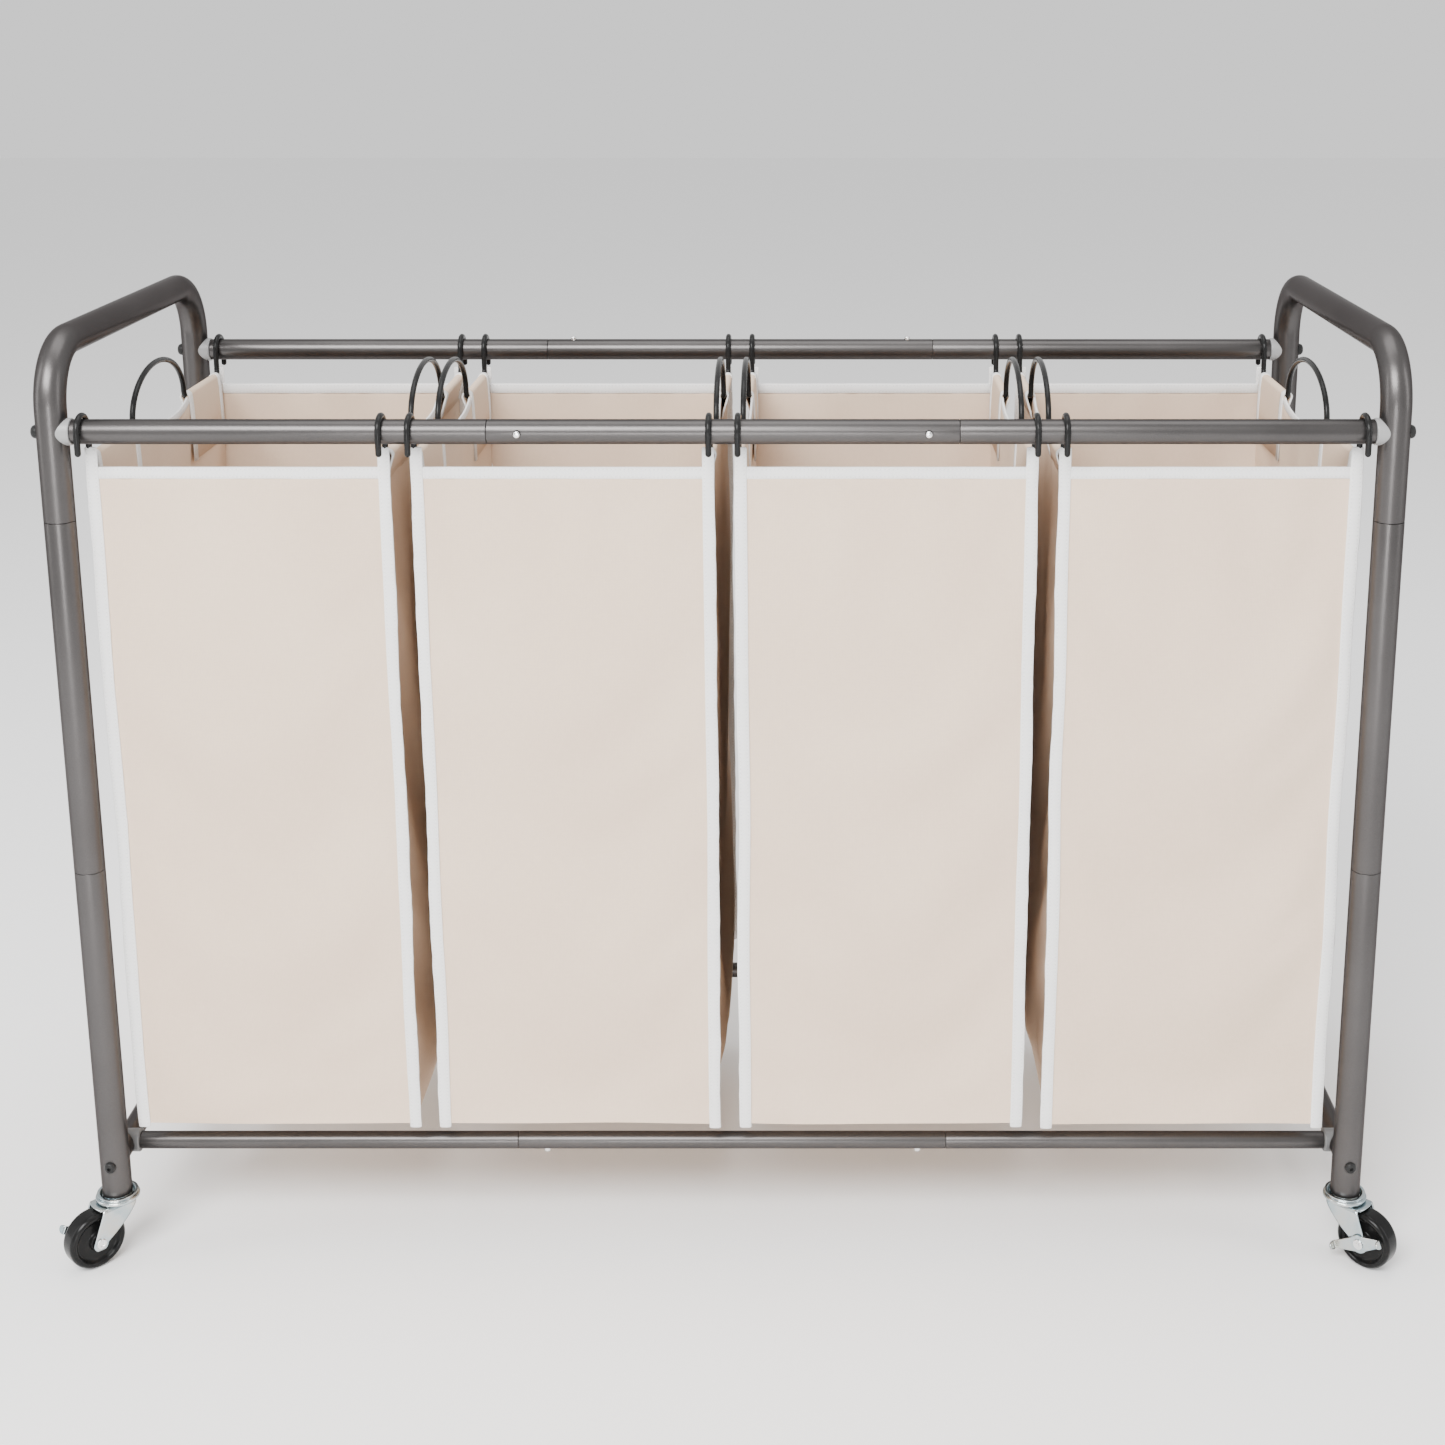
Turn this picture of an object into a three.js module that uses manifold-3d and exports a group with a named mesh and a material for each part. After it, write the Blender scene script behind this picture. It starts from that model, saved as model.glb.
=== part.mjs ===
// A rolling laundry sorter: a knock-down steel tube frame on four swivel casters,
// with four fabric bags side by side. Each bag hangs from two bent wire hangers
// that hook over the front and rear top rails.
//
// Millimetres, +Z up, +X to the right, the front towards -Y.
// The origin is on the floor, in the middle of the frame.

import * as THREE from 'three';
import { mergeVertices } from 'three/addons/utils/BufferGeometryUtils.js';
import Module from 'manifold-3d';

const wasm = await Module();
wasm.setup();

// ---------------------------------------------------------------- driving sizes

const GAP = 0.3; // clearance between pieces that touch on the real object
const WALL = 1.2; // wall of every steel tube
const ROUND = 12; // sides of a tube
const SMALL_ROUND = 8; // sides of a snap button
const WIRE_SIDES = 6;
const CURVE_STEPS = 6; // steps of a curved edge, and of a quarter or half bend

const LEG_SPAN_X = 1064; // leg axis to leg axis, left to right
const LEG_SPAN_Y = 385; // leg axis to leg axis, front to back
const LEG_R = 12.5;
const LEG_BOTTOM_Z = 59;
const LOWER_JOINT_Z = 359; // where the lower and middle leg tubes meet
const UPPER_JOINT_Z = 659; // where the middle leg tube meets the arch
const ARCH_BAR_Z = 798.5;
const ARCH_BEND_R = 50;
const SPIGOT_LENGTH = 32; // swaged tube end inside its neighbour

const RAIL_R = 10;
const RAIL_Z = 732;
const RAIL_MIDDLE_HALF = 187; // half of a rail's middle tube
const RAIL_FROM_LEG = 16.4; // from a leg's axis to a top rail's end
const SADDLE_R = 11;

const CROSSBAR_R = 9.5;
const LOWER_Z = 89; // crossbars and lower rails
const LOWER_RAIL_R = 7.5;
const LOWER_RAIL_Y = 160.5; // lower rails, in front of and behind the middle
const LOWER_CUP_R = 10;
const LOWER_CUP_REACH = 13; // from a crossbar's axis to its cup's face

const BUTTON_R = 2.8;
const BUTTON_X = 162.5; // snap buttons, left and right of the middle
const BUTTON_PROUD = 1.6; // how far a button's flank stands out of its tube
const BUTTON_DOME = 1.3; // height of a button's dome above its flank
const BUTTON_HOLE_R = 3.3;
const BUTTON_FOOT_R = 3.7; // flange that keeps a button inside its tube
const BUTTON_FOOT_THICK = 1.2;
const BUTTON_FOOT_DEPTH = 6.4; // from the tube's surface down to the foot

const BAG_PITCH = 260;
const BAG_HALF_WIDTH = 115.5;
const BAG_FLANGE_HALF = 122; // bound corner seams stand out past the side panels
const BAG_HALF_DEPTH = 181;
const BAG_BOTTOM_Z = 117;
const BAG_FRONT_TOP_Z = 700;
const BAG_SIDE_TOP_Z = 717;
const BAG_WALL = 2;
const GRIP_DIP_Z = 699; // the side panel dips under the handle
const GRIP_HALF = 72;

const WIRE_R = 2.5;
const WIRE_X = 118.5; // from a bag's middle to its hangers
const WIRE_HEM_Z = 708; // straight runs inside the side panel's hem
const HOOK_R = RAIL_R + GAP + WIRE_R;
const HOOK_TIP_DROP = 18;
const HEM_BEND_R = 8;
const HANDLE_BEND_R = 6;
const HANDLE_HALF = 72.5;
const HANDLE_TOP_Z = 754;

const WHEEL_R = 25;
const WHEEL_HALF = 9.4;
const WHEEL_SIDES = 20;
const TREAD_EDGE = 2; // bevel between the tread and the wheel's face
const RIM_INNER_R = 20;
const WEB_OUTER_R = 18;
const WEB_INNER_R = 9.5;
const WEB_HALF = 6.4; // the dished web is thinner than the rim
const HUB_R = 7.5;
const HUB_HALF = 9.9;
const TRAIL = 24; // axle behind the swivel axis
const AXLE_R = 3;
const AXLE_HEAD_R = 4.6;
const AXLE_HEAD_PROUD = 1.8;
const FORK_TOP_Z = 53.2;
const FORK_PLATE = 2;
const FORK_HALF = 13;
const FORK_HEEL_X = -10.5; // side plate's top corner, ahead of the swivel axis
const FORK_NOSE_X = 19; // side plate's other top corner, over the wheel
const FORK_NOSE_BOW = 6; // the top plate's ends are drawn out into shallow curves
const FORK_HEEL_BOW = 9;
const FORK_KNEE_X = -8.5; // bend of the side plate's curved front edge
const FORK_KNEE_Z = 42;
const FORK_END_R = 6.5; // round lower end, about the axle
const KINGPIN_R = 4;
const KINGPIN_HOLE_R = 4.5;
const RIVET_R = 6.5; // kingpin's riveted head, under the fork's top plate
const RIVET_THICK = 2.2;
const COLLAR_R = 17.5;
const COLLAR_EDGE = 1.5;
const STEM_R = 10.9;
const STEM_TOP_Z = 84;
const STEM_CHAMFER = 2;
const LEVER_THICK = 1.5;
const LEVER_BACK = 25; // arm towards the swivel axis, from the axle
const LEVER_AHEAD = 22;
const LEVER_HALF_WIDTH = 3.5;
const LEVER_DISC_R = 8;
const LEVER_TAB = 4; // how far the bent end tabs stand out
const LEVER_TILT = THREE.MathUtils.degToRad(25);

// ---------------------------------------------------------------- finishes

const finishes = {
  paint: { color: 0x6e6969, roughness: 0.38, metalness: 0.55 },
  saddle: { color: 0xc8c8cd, roughness: 0.35, metalness: 0.3 },
  zinc: { color: 0xbec8cb, roughness: 0.3, metalness: 0.9 },
  wheel: { color: 0x141416, roughness: 0.25, metalness: 0 },
  wire: { color: 0x17171a, roughness: 0.3, metalness: 0.1 },
  steel: { color: 0xd8d8da, roughness: 0.2, metalness: 1 },
  fabric: { color: 0xe5dbd0, roughness: 0.85, metalness: 0 },
};

function piece(name, geometry, finish) {
  const mesh = new THREE.Mesh(geometry, new THREE.MeshStandardMaterial(finishes[finish]));
  mesh.name = name;
  return mesh;
}

// ---------------------------------------------------------------- shape helpers

// A closed geometry as a solid for joins and cuts.
function toSolid(geometry) {
  const bare = geometry.clone();
  bare.deleteAttribute('normal');
  bare.deleteAttribute('uv');
  const merged = mergeVertices(bare, 1e-4);
  const corners = merged.index.array;
  const triVerts = [];
  for (let i = 0; i < corners.length; i += 3) {
    const [a, b, c] = [corners[i], corners[i + 1], corners[i + 2]];
    if (a !== b && b !== c && c !== a) triVerts.push(a, b, c);
  }
  return new wasm.Manifold(new wasm.Mesh({
    numProp: 3,
    vertProperties: new Float32Array(merged.attributes.position.array),
    triVerts: new Uint32Array(triVerts),
  }));
}

function toGeometry(solid) {
  const { vertProperties, triVerts } = solid.getMesh();
  const geometry = new THREE.BufferGeometry();
  geometry.setAttribute('position', new THREE.BufferAttribute(vertProperties, 3));
  geometry.setIndex(new THREE.BufferAttribute(triVerts, 1));
  geometry.computeVertexNormals();
  return geometry;
}

function join(...geometries) {
  return toGeometry(geometries.map(toSolid).reduce((all, next) => all.add(next)));
}

function cut(geometry, ...tools) {
  return toGeometry(tools.map(toSolid).reduce((left, tool) => left.subtract(tool), toSolid(geometry)));
}

// A turned solid about +Z: profile points are [radius, height], anticlockwise.
function turned(profile, sides = ROUND, phase = 0) {
  const points = profile.map(([radius, height]) => new THREE.Vector2(radius, height));
  return new THREE.LatheGeometry(points, sides, phase).rotateX(Math.PI / 2);
}

function rod(radius, from, to) {
  return turned([[0, from], [radius, from], [radius, to], [0, to]]);
}

// A straight tube about +Z whose upper or lower end may be swaged to a spigot.
function tube(radius, from, to, { spigotUp = false, spigotDown = false } = {}) {
  const bore = radius - WALL;
  const neck = bore - GAP;
  const neckBore = neck - WALL;
  const profile = [];
  if (spigotDown) {
    profile.push([neckBore, from - SPIGOT_LENGTH], [neck, from - SPIGOT_LENGTH], [neck, from]);
  } else {
    profile.push([bore, from]);
  }
  profile.push([radius, from], [radius, to]);
  if (spigotUp) {
    profile.push([neck, to], [neck, to + SPIGOT_LENGTH], [neckBore, to + SPIGOT_LENGTH]);
    profile.push([neckBore, to - WALL], [bore, to - 2 * WALL]);
  } else {
    profile.push([bore, to]);
  }
  if (spigotDown) profile.push([bore, from + 2 * WALL], [neckBore, from + WALL]);
  profile.push(profile[0]);
  return turned(profile);
}

const alongX = (geometry) => geometry.rotateY(Math.PI / 2);
const alongY = (geometry) => geometry.rotateX(-Math.PI / 2);

// A path through given knots, with one straight step between each pair.
class KnottedPath extends THREE.Curve {
  constructor(knots) {
    super();
    this.knots = knots;
  }

  getPoint(t) {
    const place = t * (this.knots.length - 1);
    const i = Math.min(Math.floor(place), this.knots.length - 2);
    return this.knots[i].clone().lerp(this.knots[i + 1], place - i);
  }

  getPointAt(u) {
    return this.getPoint(u);
  }

  getSpacedPoints(divisions) {
    return this.getPoints(divisions);
  }

  getTangentAt(u) {
    const last = this.knots.length - 1;
    const i = Math.round(u * last);
    const before = this.knots[Math.max(i - 1, 0)];
    const after = this.knots[Math.min(i + 1, last)];
    const into = this.knots[i].clone().sub(before).normalize();
    const out = after.clone().sub(this.knots[i]).normalize();
    return into.add(out).normalize();
  }
}

function polygonPath(PathType, radius, sides) {
  const corners = Array.from({ length: sides }, (_, i) => {
    const angle = (2 * Math.PI * i) / sides;
    return new THREE.Vector2(radius * Math.cos(angle), radius * Math.sin(angle));
  });
  return new PathType(corners);
}

// A bent bar or tube whose centre line lies in the YZ plane: knots are [y, z].
function bent(knots, radius, sides, bore = 0) {
  const section = polygonPath(THREE.Shape, radius, sides);
  if (bore) section.holes.push(polygonPath(THREE.Path, bore, sides));
  const path = new KnottedPath(knots.map(([y, z]) => new THREE.Vector3(0, y, z)));
  return new THREE.ExtrudeGeometry(section, { extrudePath: path, steps: knots.length - 1 });
}

function arcKnots(y, z, radiusY, radiusZ, fromDegrees, toDegrees, steps = CURVE_STEPS) {
  return Array.from({ length: steps + 1 }, (_, i) => {
    const angle = THREE.MathUtils.degToRad(fromDegrees + ((toDegrees - fromDegrees) * i) / steps);
    return [y + radiusY * Math.cos(angle), z + radiusZ * Math.sin(angle)];
  });
}

// The front half of a symmetric bent piece, then the same mirrored to the back.
function mirroredKnots(half) {
  return [...half, ...half.slice(0, -1).reverse().map(([y, z]) => [-y, z])];
}

function plate(outline, thickness) {
  return new THREE.ExtrudeGeometry(outline, {
    depth: thickness, bevelEnabled: false, curveSegments: CURVE_STEPS,
  });
}

function block(x0, x1, y0, y1, z0, z1) {
  return new THREE.BoxGeometry(x1 - x0, y1 - y0, z1 - z0)
    .translate((x0 + x1) / 2, (y0 + y1) / 2, (z0 + z1) / 2);
}

// ---------------------------------------------------------------- frame

const SIDES = [['left', -1], ['right', 1]];
const ENDS = [['front', -1], ['rear', 1]];
const LEG_X = LEG_SPAN_X / 2;
const LEG_Y = LEG_SPAN_Y / 2;

function archGeometry() {
  const bendY = -LEG_Y + ARCH_BEND_R;
  const half = [
    [-LEG_Y, UPPER_JOINT_Z + GAP],
    ...arcKnots(bendY, ARCH_BAR_Z - ARCH_BEND_R, ARCH_BEND_R, ARCH_BEND_R, 180, 90),
    [0, ARCH_BAR_Z],
  ];
  return bent(mirroredKnots(half), LEG_R, ROUND, LEG_R - WALL);
}

// Each crossbar is coped to its two legs and carries two cups for the lower rails.
function crossbarGeometry(side) {
  const bar = alongY(tube(CROSSBAR_R, -LEG_Y, LEG_Y));
  const cups = ENDS.map(([, end]) => {
    const cup = alongX(rod(LOWER_CUP_R, 0, LOWER_CUP_REACH)).rotateZ(side > 0 ? Math.PI : 0);
    const bore = alongY(rod(CROSSBAR_R - WALL / 2, -2 * LOWER_CUP_R, 2 * LOWER_CUP_R));
    return cut(cup, bore).translate(0, end * LOWER_RAIL_Y, 0);
  });
  const legs = ENDS.map(([, end]) => rod(LEG_R + GAP, -2 * CROSSBAR_R, 2 * CROSSBAR_R)
    .translate(0, end * LEG_Y, 0));
  return cut(join(bar, ...cups), ...legs);
}

// A saddle seats a top rail's flat end against the round leg.
function saddleGeometry(side) {
  const body = alongX(rod(SADDLE_R, 0, RAIL_FROM_LEG - GAP));
  const leg = rod(LEG_R + GAP, -2 * SADDLE_R, 2 * SADDLE_R);
  return cut(body, leg).rotateZ(side > 0 ? Math.PI : 0);
}

function buttonHole(radius, x) {
  return rod(BUTTON_HOLE_R, 0, 2 * radius).translate(x, 0, 0);
}

// The three tubes of a rail lie along X. Buttons point along local +Z.
function railTubes(radius, end) {
  const left = cut(
    alongX(tube(radius, -end, -RAIL_MIDDLE_HALF - GAP, { spigotUp: true })),
    buttonHole(radius, -BUTTON_X),
  );
  const middle = cut(
    alongX(tube(radius, -RAIL_MIDDLE_HALF, RAIL_MIDDLE_HALF)),
    buttonHole(radius, -BUTTON_X),
    buttonHole(radius, BUTTON_X),
  );
  const right = cut(
    alongX(tube(radius, RAIL_MIDDLE_HALF + GAP, end, { spigotDown: true })),
    buttonHole(radius, BUTTON_X),
  );
  return { left, middle, right };
}

// A domed snap button with a foot that holds it inside the spigot.
function buttonGeometry(radius) {
  const flank = radius + BUTTON_PROUD;
  const foot = radius - BUTTON_FOOT_DEPTH;
  const footTop = foot + BUTTON_FOOT_THICK;
  return turned([
    [0, foot], [BUTTON_FOOT_R, foot], [BUTTON_FOOT_R, footTop], [BUTTON_R, footTop],
    [BUTTON_R, flank], [0.6 * BUTTON_R, flank + 0.75 * BUTTON_DOME], [0, flank + BUTTON_DOME],
  ], SMALL_ROUND);
}

function addFrame(root) {
  for (const [side, sx] of SIDES) {
    const arch = piece(`arch_${side}`, archGeometry(), 'paint');
    arch.position.x = sx * LEG_X;
    const crossbar = piece(`crossbar_${side}`, crossbarGeometry(sx), 'paint');
    crossbar.position.set(sx * LEG_X, 0, LOWER_Z);
    root.add(arch, crossbar);
    for (const [end, sy] of ENDS) {
      const corner = new THREE.Group();
      corner.position.set(sx * LEG_X, sy * LEG_Y, 0);
      const middle = tube(LEG_R, LOWER_JOINT_Z + GAP, UPPER_JOINT_Z, { spigotUp: true });
      const lower = tube(LEG_R, LEG_BOTTOM_Z, LOWER_JOINT_Z, { spigotUp: true });
      const saddle = piece(`saddle_${end}_${side}`, saddleGeometry(sx), 'saddle');
      saddle.position.z = RAIL_Z;
      corner.add(piece(`middle_leg_${end}_${side}`, middle, 'paint'));
      corner.add(piece(`lower_leg_${end}_${side}`, lower, 'paint'));
      corner.add(saddle);
      root.add(corner);
    }
  }
}

// A rail's group is turned about X so that its snap buttons point the right way.
function addRail(root, name, { radius, end, y, z, turn, asOne = false }) {
  const rail = new THREE.Group();
  rail.position.set(0, y, z);
  rail.rotation.x = turn;
  const tubes = railTubes(radius, end);
  if (asOne) {
    rail.add(piece(name, joinedRail(tubes), 'paint'));
  } else {
    for (const [part, geometry] of Object.entries(tubes)) {
      rail.add(piece(`${name}_${part}`, geometry, 'paint'));
    }
  }
  for (const [side, sx] of SIDES) {
    const button = piece(`${name}_button_${side}`, buttonGeometry(radius), 'steel');
    button.position.x = sx * BUTTON_X;
    rail.add(button);
  }
  root.add(rail);
}

// The hidden rear lower rail is one node: thin rings close its two tube joints.
function joinedRail({ left, middle, right }) {
  const rings = SIDES.map(([, sx]) => {
    const from = sx * (RAIL_MIDDLE_HALF + GAP / 2) - GAP;
    const [neck, skin] = [LOWER_RAIL_R - 2 * WALL, LOWER_RAIL_R - WALL / 2];
    return alongX(turned([[neck, from], [skin, from], [skin, from + 2 * GAP],
      [neck, from + 2 * GAP], [neck, from]]));
  });
  return join(left, middle, right, ...rings);
}

function addRails(root) {
  const topEnd = LEG_X - RAIL_FROM_LEG;
  const lowerEnd = LEG_X - LOWER_CUP_REACH - GAP;
  const top = { radius: RAIL_R, end: topEnd, z: RAIL_Z };
  const low = { radius: LOWER_RAIL_R, end: lowerEnd, z: LOWER_Z, turn: Math.PI };
  addRail(root, 'front_rail', { ...top, y: -LEG_Y, turn: Math.PI / 2 });
  addRail(root, 'rear_rail', { ...top, y: LEG_Y, turn: 0 });
  addRail(root, 'lower_front_rail', { ...low, y: -LOWER_RAIL_Y });
  addRail(root, 'lower_rear_rail', { ...low, y: LOWER_RAIL_Y, asOne: true });
}

// ---------------------------------------------------------------- bags and hangers

// One side panel's outline in the YZ plane, with the dip that clears the handle.
function sidePanelOutline() {
  const outline = new THREE.Shape();
  outline.moveTo(-BAG_HALF_DEPTH, BAG_BOTTOM_Z);
  outline.lineTo(BAG_HALF_DEPTH, BAG_BOTTOM_Z);
  outline.lineTo(BAG_HALF_DEPTH, BAG_SIDE_TOP_Z);
  outline.lineTo(GRIP_HALF, BAG_SIDE_TOP_Z);
  outline.quadraticCurveTo(0.8 * GRIP_HALF, GRIP_DIP_Z, 0, GRIP_DIP_Z);
  outline.quadraticCurveTo(-0.8 * GRIP_HALF, GRIP_DIP_Z, -GRIP_HALF, BAG_SIDE_TOP_Z);
  outline.lineTo(-BAG_HALF_DEPTH, BAG_SIDE_TOP_Z);
  outline.closePath();
  return outline;
}

function bagGeometry() {
  const depth = BAG_HALF_DEPTH;
  const inner = depth - BAG_WALL;
  // the panel is drawn flat with Y to its right and Z up it, then stood up facing +X
  const standing = new THREE.Matrix4().set(0, 0, 1, 0, 1, 0, 0, 0, 0, 1, 0, 0, 0, 0, 0, 1);
  const sides = SIDES.map(([, sx]) => plate(sidePanelOutline(), BAG_WALL)
    .applyMatrix4(standing)
    .translate(sx > 0 ? BAG_HALF_WIDTH - BAG_WALL : -BAG_HALF_WIDTH, 0, 0));
  const flange = BAG_FLANGE_HALF;
  return join(
    ...sides,
    block(-flange, flange, -depth, -inner, BAG_BOTTOM_Z, BAG_FRONT_TOP_Z),
    block(-flange, flange, inner, depth, BAG_BOTTOM_Z, BAG_FRONT_TOP_Z),
    block(-BAG_HALF_WIDTH, BAG_HALF_WIDTH, -depth, depth, BAG_BOTTOM_Z, BAG_BOTTOM_Z + BAG_WALL),
  );
}

// One wire: a hook over each rail, a straight run in the hem and an arched handle.
function hangerGeometry() {
  const behindRail = -LEG_Y + HOOK_R;
  const handleFoot = WIRE_HEM_Z + HANDLE_BEND_R;
  const half = [
    [-LEG_Y - HOOK_R, RAIL_Z - HOOK_TIP_DROP],
    ...arcKnots(-LEG_Y, RAIL_Z, HOOK_R, HOOK_R, 180, 0),
    ...arcKnots(behindRail + HEM_BEND_R, WIRE_HEM_Z + HEM_BEND_R, HEM_BEND_R, HEM_BEND_R, 180, 270, 2),
    ...arcKnots(-HANDLE_HALF - HANDLE_BEND_R, handleFoot, HANDLE_BEND_R, HANDLE_BEND_R, -90, 0, 2),
    ...arcKnots(0, handleFoot, HANDLE_HALF, HANDLE_TOP_Z - handleFoot, 180, 90).slice(1),
  ];
  return bent(mirroredKnots(half), WIRE_R, WIRE_SIDES);
}

function addBags(root) {
  for (let i = 0; i < 4; i += 1) {
    const bag = new THREE.Group();
    bag.position.x = (i - 1.5) * BAG_PITCH;
    bag.add(piece(`bag_${i + 1}`, bagGeometry(), 'fabric'));
    for (const [side, sx] of SIDES) {
      const hanger = piece(`hanger_${i + 1}_${side}`, hangerGeometry(), 'wire');
      hanger.position.x = sx * WIRE_X;
      bag.add(hanger);
    }
    root.add(bag);
  }
}

// ---------------------------------------------------------------- casters
// A caster's own frame: swivel axis at the origin, wheel behind it along +X.

// Stem plug, collar ring and riveted kingpin, fixed in the leg's lower end.
function collarGeometry() {
  const ringTop = LEG_BOTTOM_Z - GAP;
  const ringBottom = FORK_TOP_Z + GAP;
  const rivetTop = FORK_TOP_Z - FORK_PLATE - GAP;
  const rivetBottom = rivetTop - RIVET_THICK;
  const ringEdge = COLLAR_R - COLLAR_EDGE;
  return turned([
    [0, rivetBottom], [RIVET_R, rivetBottom], [RIVET_R, rivetTop], [KINGPIN_R, rivetTop],
    [KINGPIN_R, ringBottom], [ringEdge, ringBottom], [COLLAR_R, ringBottom + COLLAR_EDGE],
    [COLLAR_R, ringTop - COLLAR_EDGE], [ringEdge, ringTop], [STEM_R, ringTop],
    [STEM_R, STEM_TOP_Z - STEM_CHAMFER], [STEM_R - STEM_CHAMFER, STEM_TOP_Z], [0, STEM_TOP_Z],
  ]);
}

function forkTopOutline() {
  const outline = new THREE.Shape();
  outline.moveTo(FORK_HEEL_X, -FORK_HALF);
  outline.lineTo(FORK_NOSE_X, -FORK_HALF);
  outline.quadraticCurveTo(FORK_NOSE_X + FORK_NOSE_BOW, 0, FORK_NOSE_X, FORK_HALF);
  outline.lineTo(FORK_HEEL_X, FORK_HALF);
  outline.quadraticCurveTo(FORK_HEEL_X - FORK_HEEL_BOW, 0, FORK_HEEL_X, -FORK_HALF);
  outline.holes.push(polygonPath(THREE.Path, KINGPIN_HOLE_R, ROUND));
  return outline;
}

function forkSideOutline() {
  const outline = new THREE.Shape();
  outline.moveTo(FORK_HEEL_X, FORK_TOP_Z);
  outline.quadraticCurveTo(FORK_KNEE_X, FORK_KNEE_Z, TRAIL - FORK_END_R, WHEEL_R);
  outline.absarc(TRAIL, WHEEL_R, FORK_END_R, Math.PI, 2 * Math.PI, false);
  outline.lineTo(FORK_NOSE_X, FORK_TOP_Z);
  outline.closePath();
  return outline;
}

// A flat side profile, drawn with X to its right and Z up it, set at a given Y.
function standingPlate(outline, thickness, nearY) {
  return plate(outline, thickness).rotateX(Math.PI / 2).translate(0, nearY + thickness, 0);
}

function axleRod(radius, from, to) {
  return alongY(rod(radius, from, to)).translate(TRAIL, 0, WHEEL_R);
}

function forkGeometry(braked) {
  const top = plate(forkTopOutline(), FORK_PLATE).translate(0, 0, FORK_TOP_Z - FORK_PLATE);
  const leverRoom = braked ? LEVER_THICK + 2 * GAP : 0;
  const headFrom = -FORK_HALF - leverRoom;
  return join(
    top,
    standingPlate(forkSideOutline(), FORK_PLATE, -FORK_HALF),
    standingPlate(forkSideOutline(), FORK_PLATE, FORK_HALF - FORK_PLATE),
    axleRod(AXLE_R, headFrom - AXLE_HEAD_PROUD / 2, FORK_HALF),
    axleRod(AXLE_HEAD_R, headFrom - AXLE_HEAD_PROUD, headFrom),
    axleRod(AXLE_HEAD_R, FORK_HALF - FORK_PLATE / 2, FORK_HALF + AXLE_HEAD_PROUD),
  );
}

// Dished plastic wheel. Its tread facets are tangent to the true radius.
function wheelGeometry() {
  const tread = WHEEL_R / Math.cos(Math.PI / WHEEL_SIDES);
  const half = [
    [AXLE_R + GAP, HUB_HALF], [HUB_R, HUB_HALF], [WEB_INNER_R, WEB_HALF], [WEB_OUTER_R, WEB_HALF],
    [RIM_INNER_R, WHEEL_HALF], [tread - TREAD_EDGE, WHEEL_HALF], [tread, WHEEL_HALF - TREAD_EDGE],
  ];
  const lower = half.map(([radius, height]) => [radius, -height]);
  const profile = [...lower, ...half.reverse()];
  profile.push(profile[0]);
  return alongY(turned(profile, WHEEL_SIDES, Math.PI / WHEEL_SIDES)).translate(TRAIL, 0, WHEEL_R);
}

// A rocker on the axle, outside the fork, with a bent foot tab at each end.
function leverGeometry() {
  const outline = new THREE.Shape();
  const degrees = THREE.MathUtils.degToRad;
  outline.moveTo(-LEVER_BACK, -LEVER_HALF_WIDTH);
  outline.absarc(0, 0, LEVER_DISC_R, degrees(225), degrees(315), false);
  outline.lineTo(LEVER_AHEAD, -LEVER_HALF_WIDTH);
  outline.lineTo(LEVER_AHEAD, LEVER_HALF_WIDTH);
  outline.absarc(0, 0, LEVER_DISC_R, degrees(45), degrees(135), false);
  outline.lineTo(-LEVER_BACK, LEVER_HALF_WIDTH);
  outline.closePath();
  outline.holes.push(polygonPath(THREE.Path, AXLE_R + GAP, ROUND));
  const inner = -FORK_HALF - GAP;
  const outer = inner - LEVER_THICK;
  const tabs = [-LEVER_BACK, LEVER_AHEAD - LEVER_THICK].map((x) => block(
    x, x + LEVER_THICK, outer - LEVER_TAB, inner, -LEVER_HALF_WIDTH, LEVER_HALF_WIDTH,
  ));
  return join(standingPlate(outline, LEVER_THICK, outer), ...tabs)
    .rotateY(-LEVER_TILT)
    .translate(TRAIL, 0, WHEEL_R);
}

function addCasters(root) {
  for (const [side, sx] of SIDES) {
    for (const [end, sy] of ENDS) {
      const braked = end === 'front';
      const caster = new THREE.Group();
      caster.position.set(sx * LEG_X, sy * LEG_Y, 0);
      caster.rotation.z = Math.atan2(sy, sx); // every wheel rests pointing out of its corner
      caster.add(piece(`caster_collar_${end}_${side}`, collarGeometry(), 'zinc'));
      caster.add(piece(`caster_fork_${end}_${side}`, forkGeometry(braked), 'zinc'));
      caster.add(piece(`caster_wheel_${end}_${side}`, wheelGeometry(), 'wheel'));
      if (braked) caster.add(piece(`brake_lever_${end}_${side}`, leverGeometry(), 'zinc'));
      root.add(caster);
    }
  }
}

// ---------------------------------------------------------------- the whole sorter

const sorter = new THREE.Group();
addFrame(sorter);
addRails(sorter);
addBags(sorter);
addCasters(sorter);

export default sorter;
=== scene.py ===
# %% [markdown]
# A rolling laundry sorter: a knock-down frame of painted steel tubes on four
# swivel casters, and four fabric bags that hang side by side from wire hangers.
# The imported frame gives most places and sizes. This script draws the fine surfaces
# around it: round tubes with their joints, bent wires, sewn bags, plated casters.

# %% Load the frame
import math

import bmesh
import bpy
from mathutils import Matrix, Vector, kdtree, noise


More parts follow.
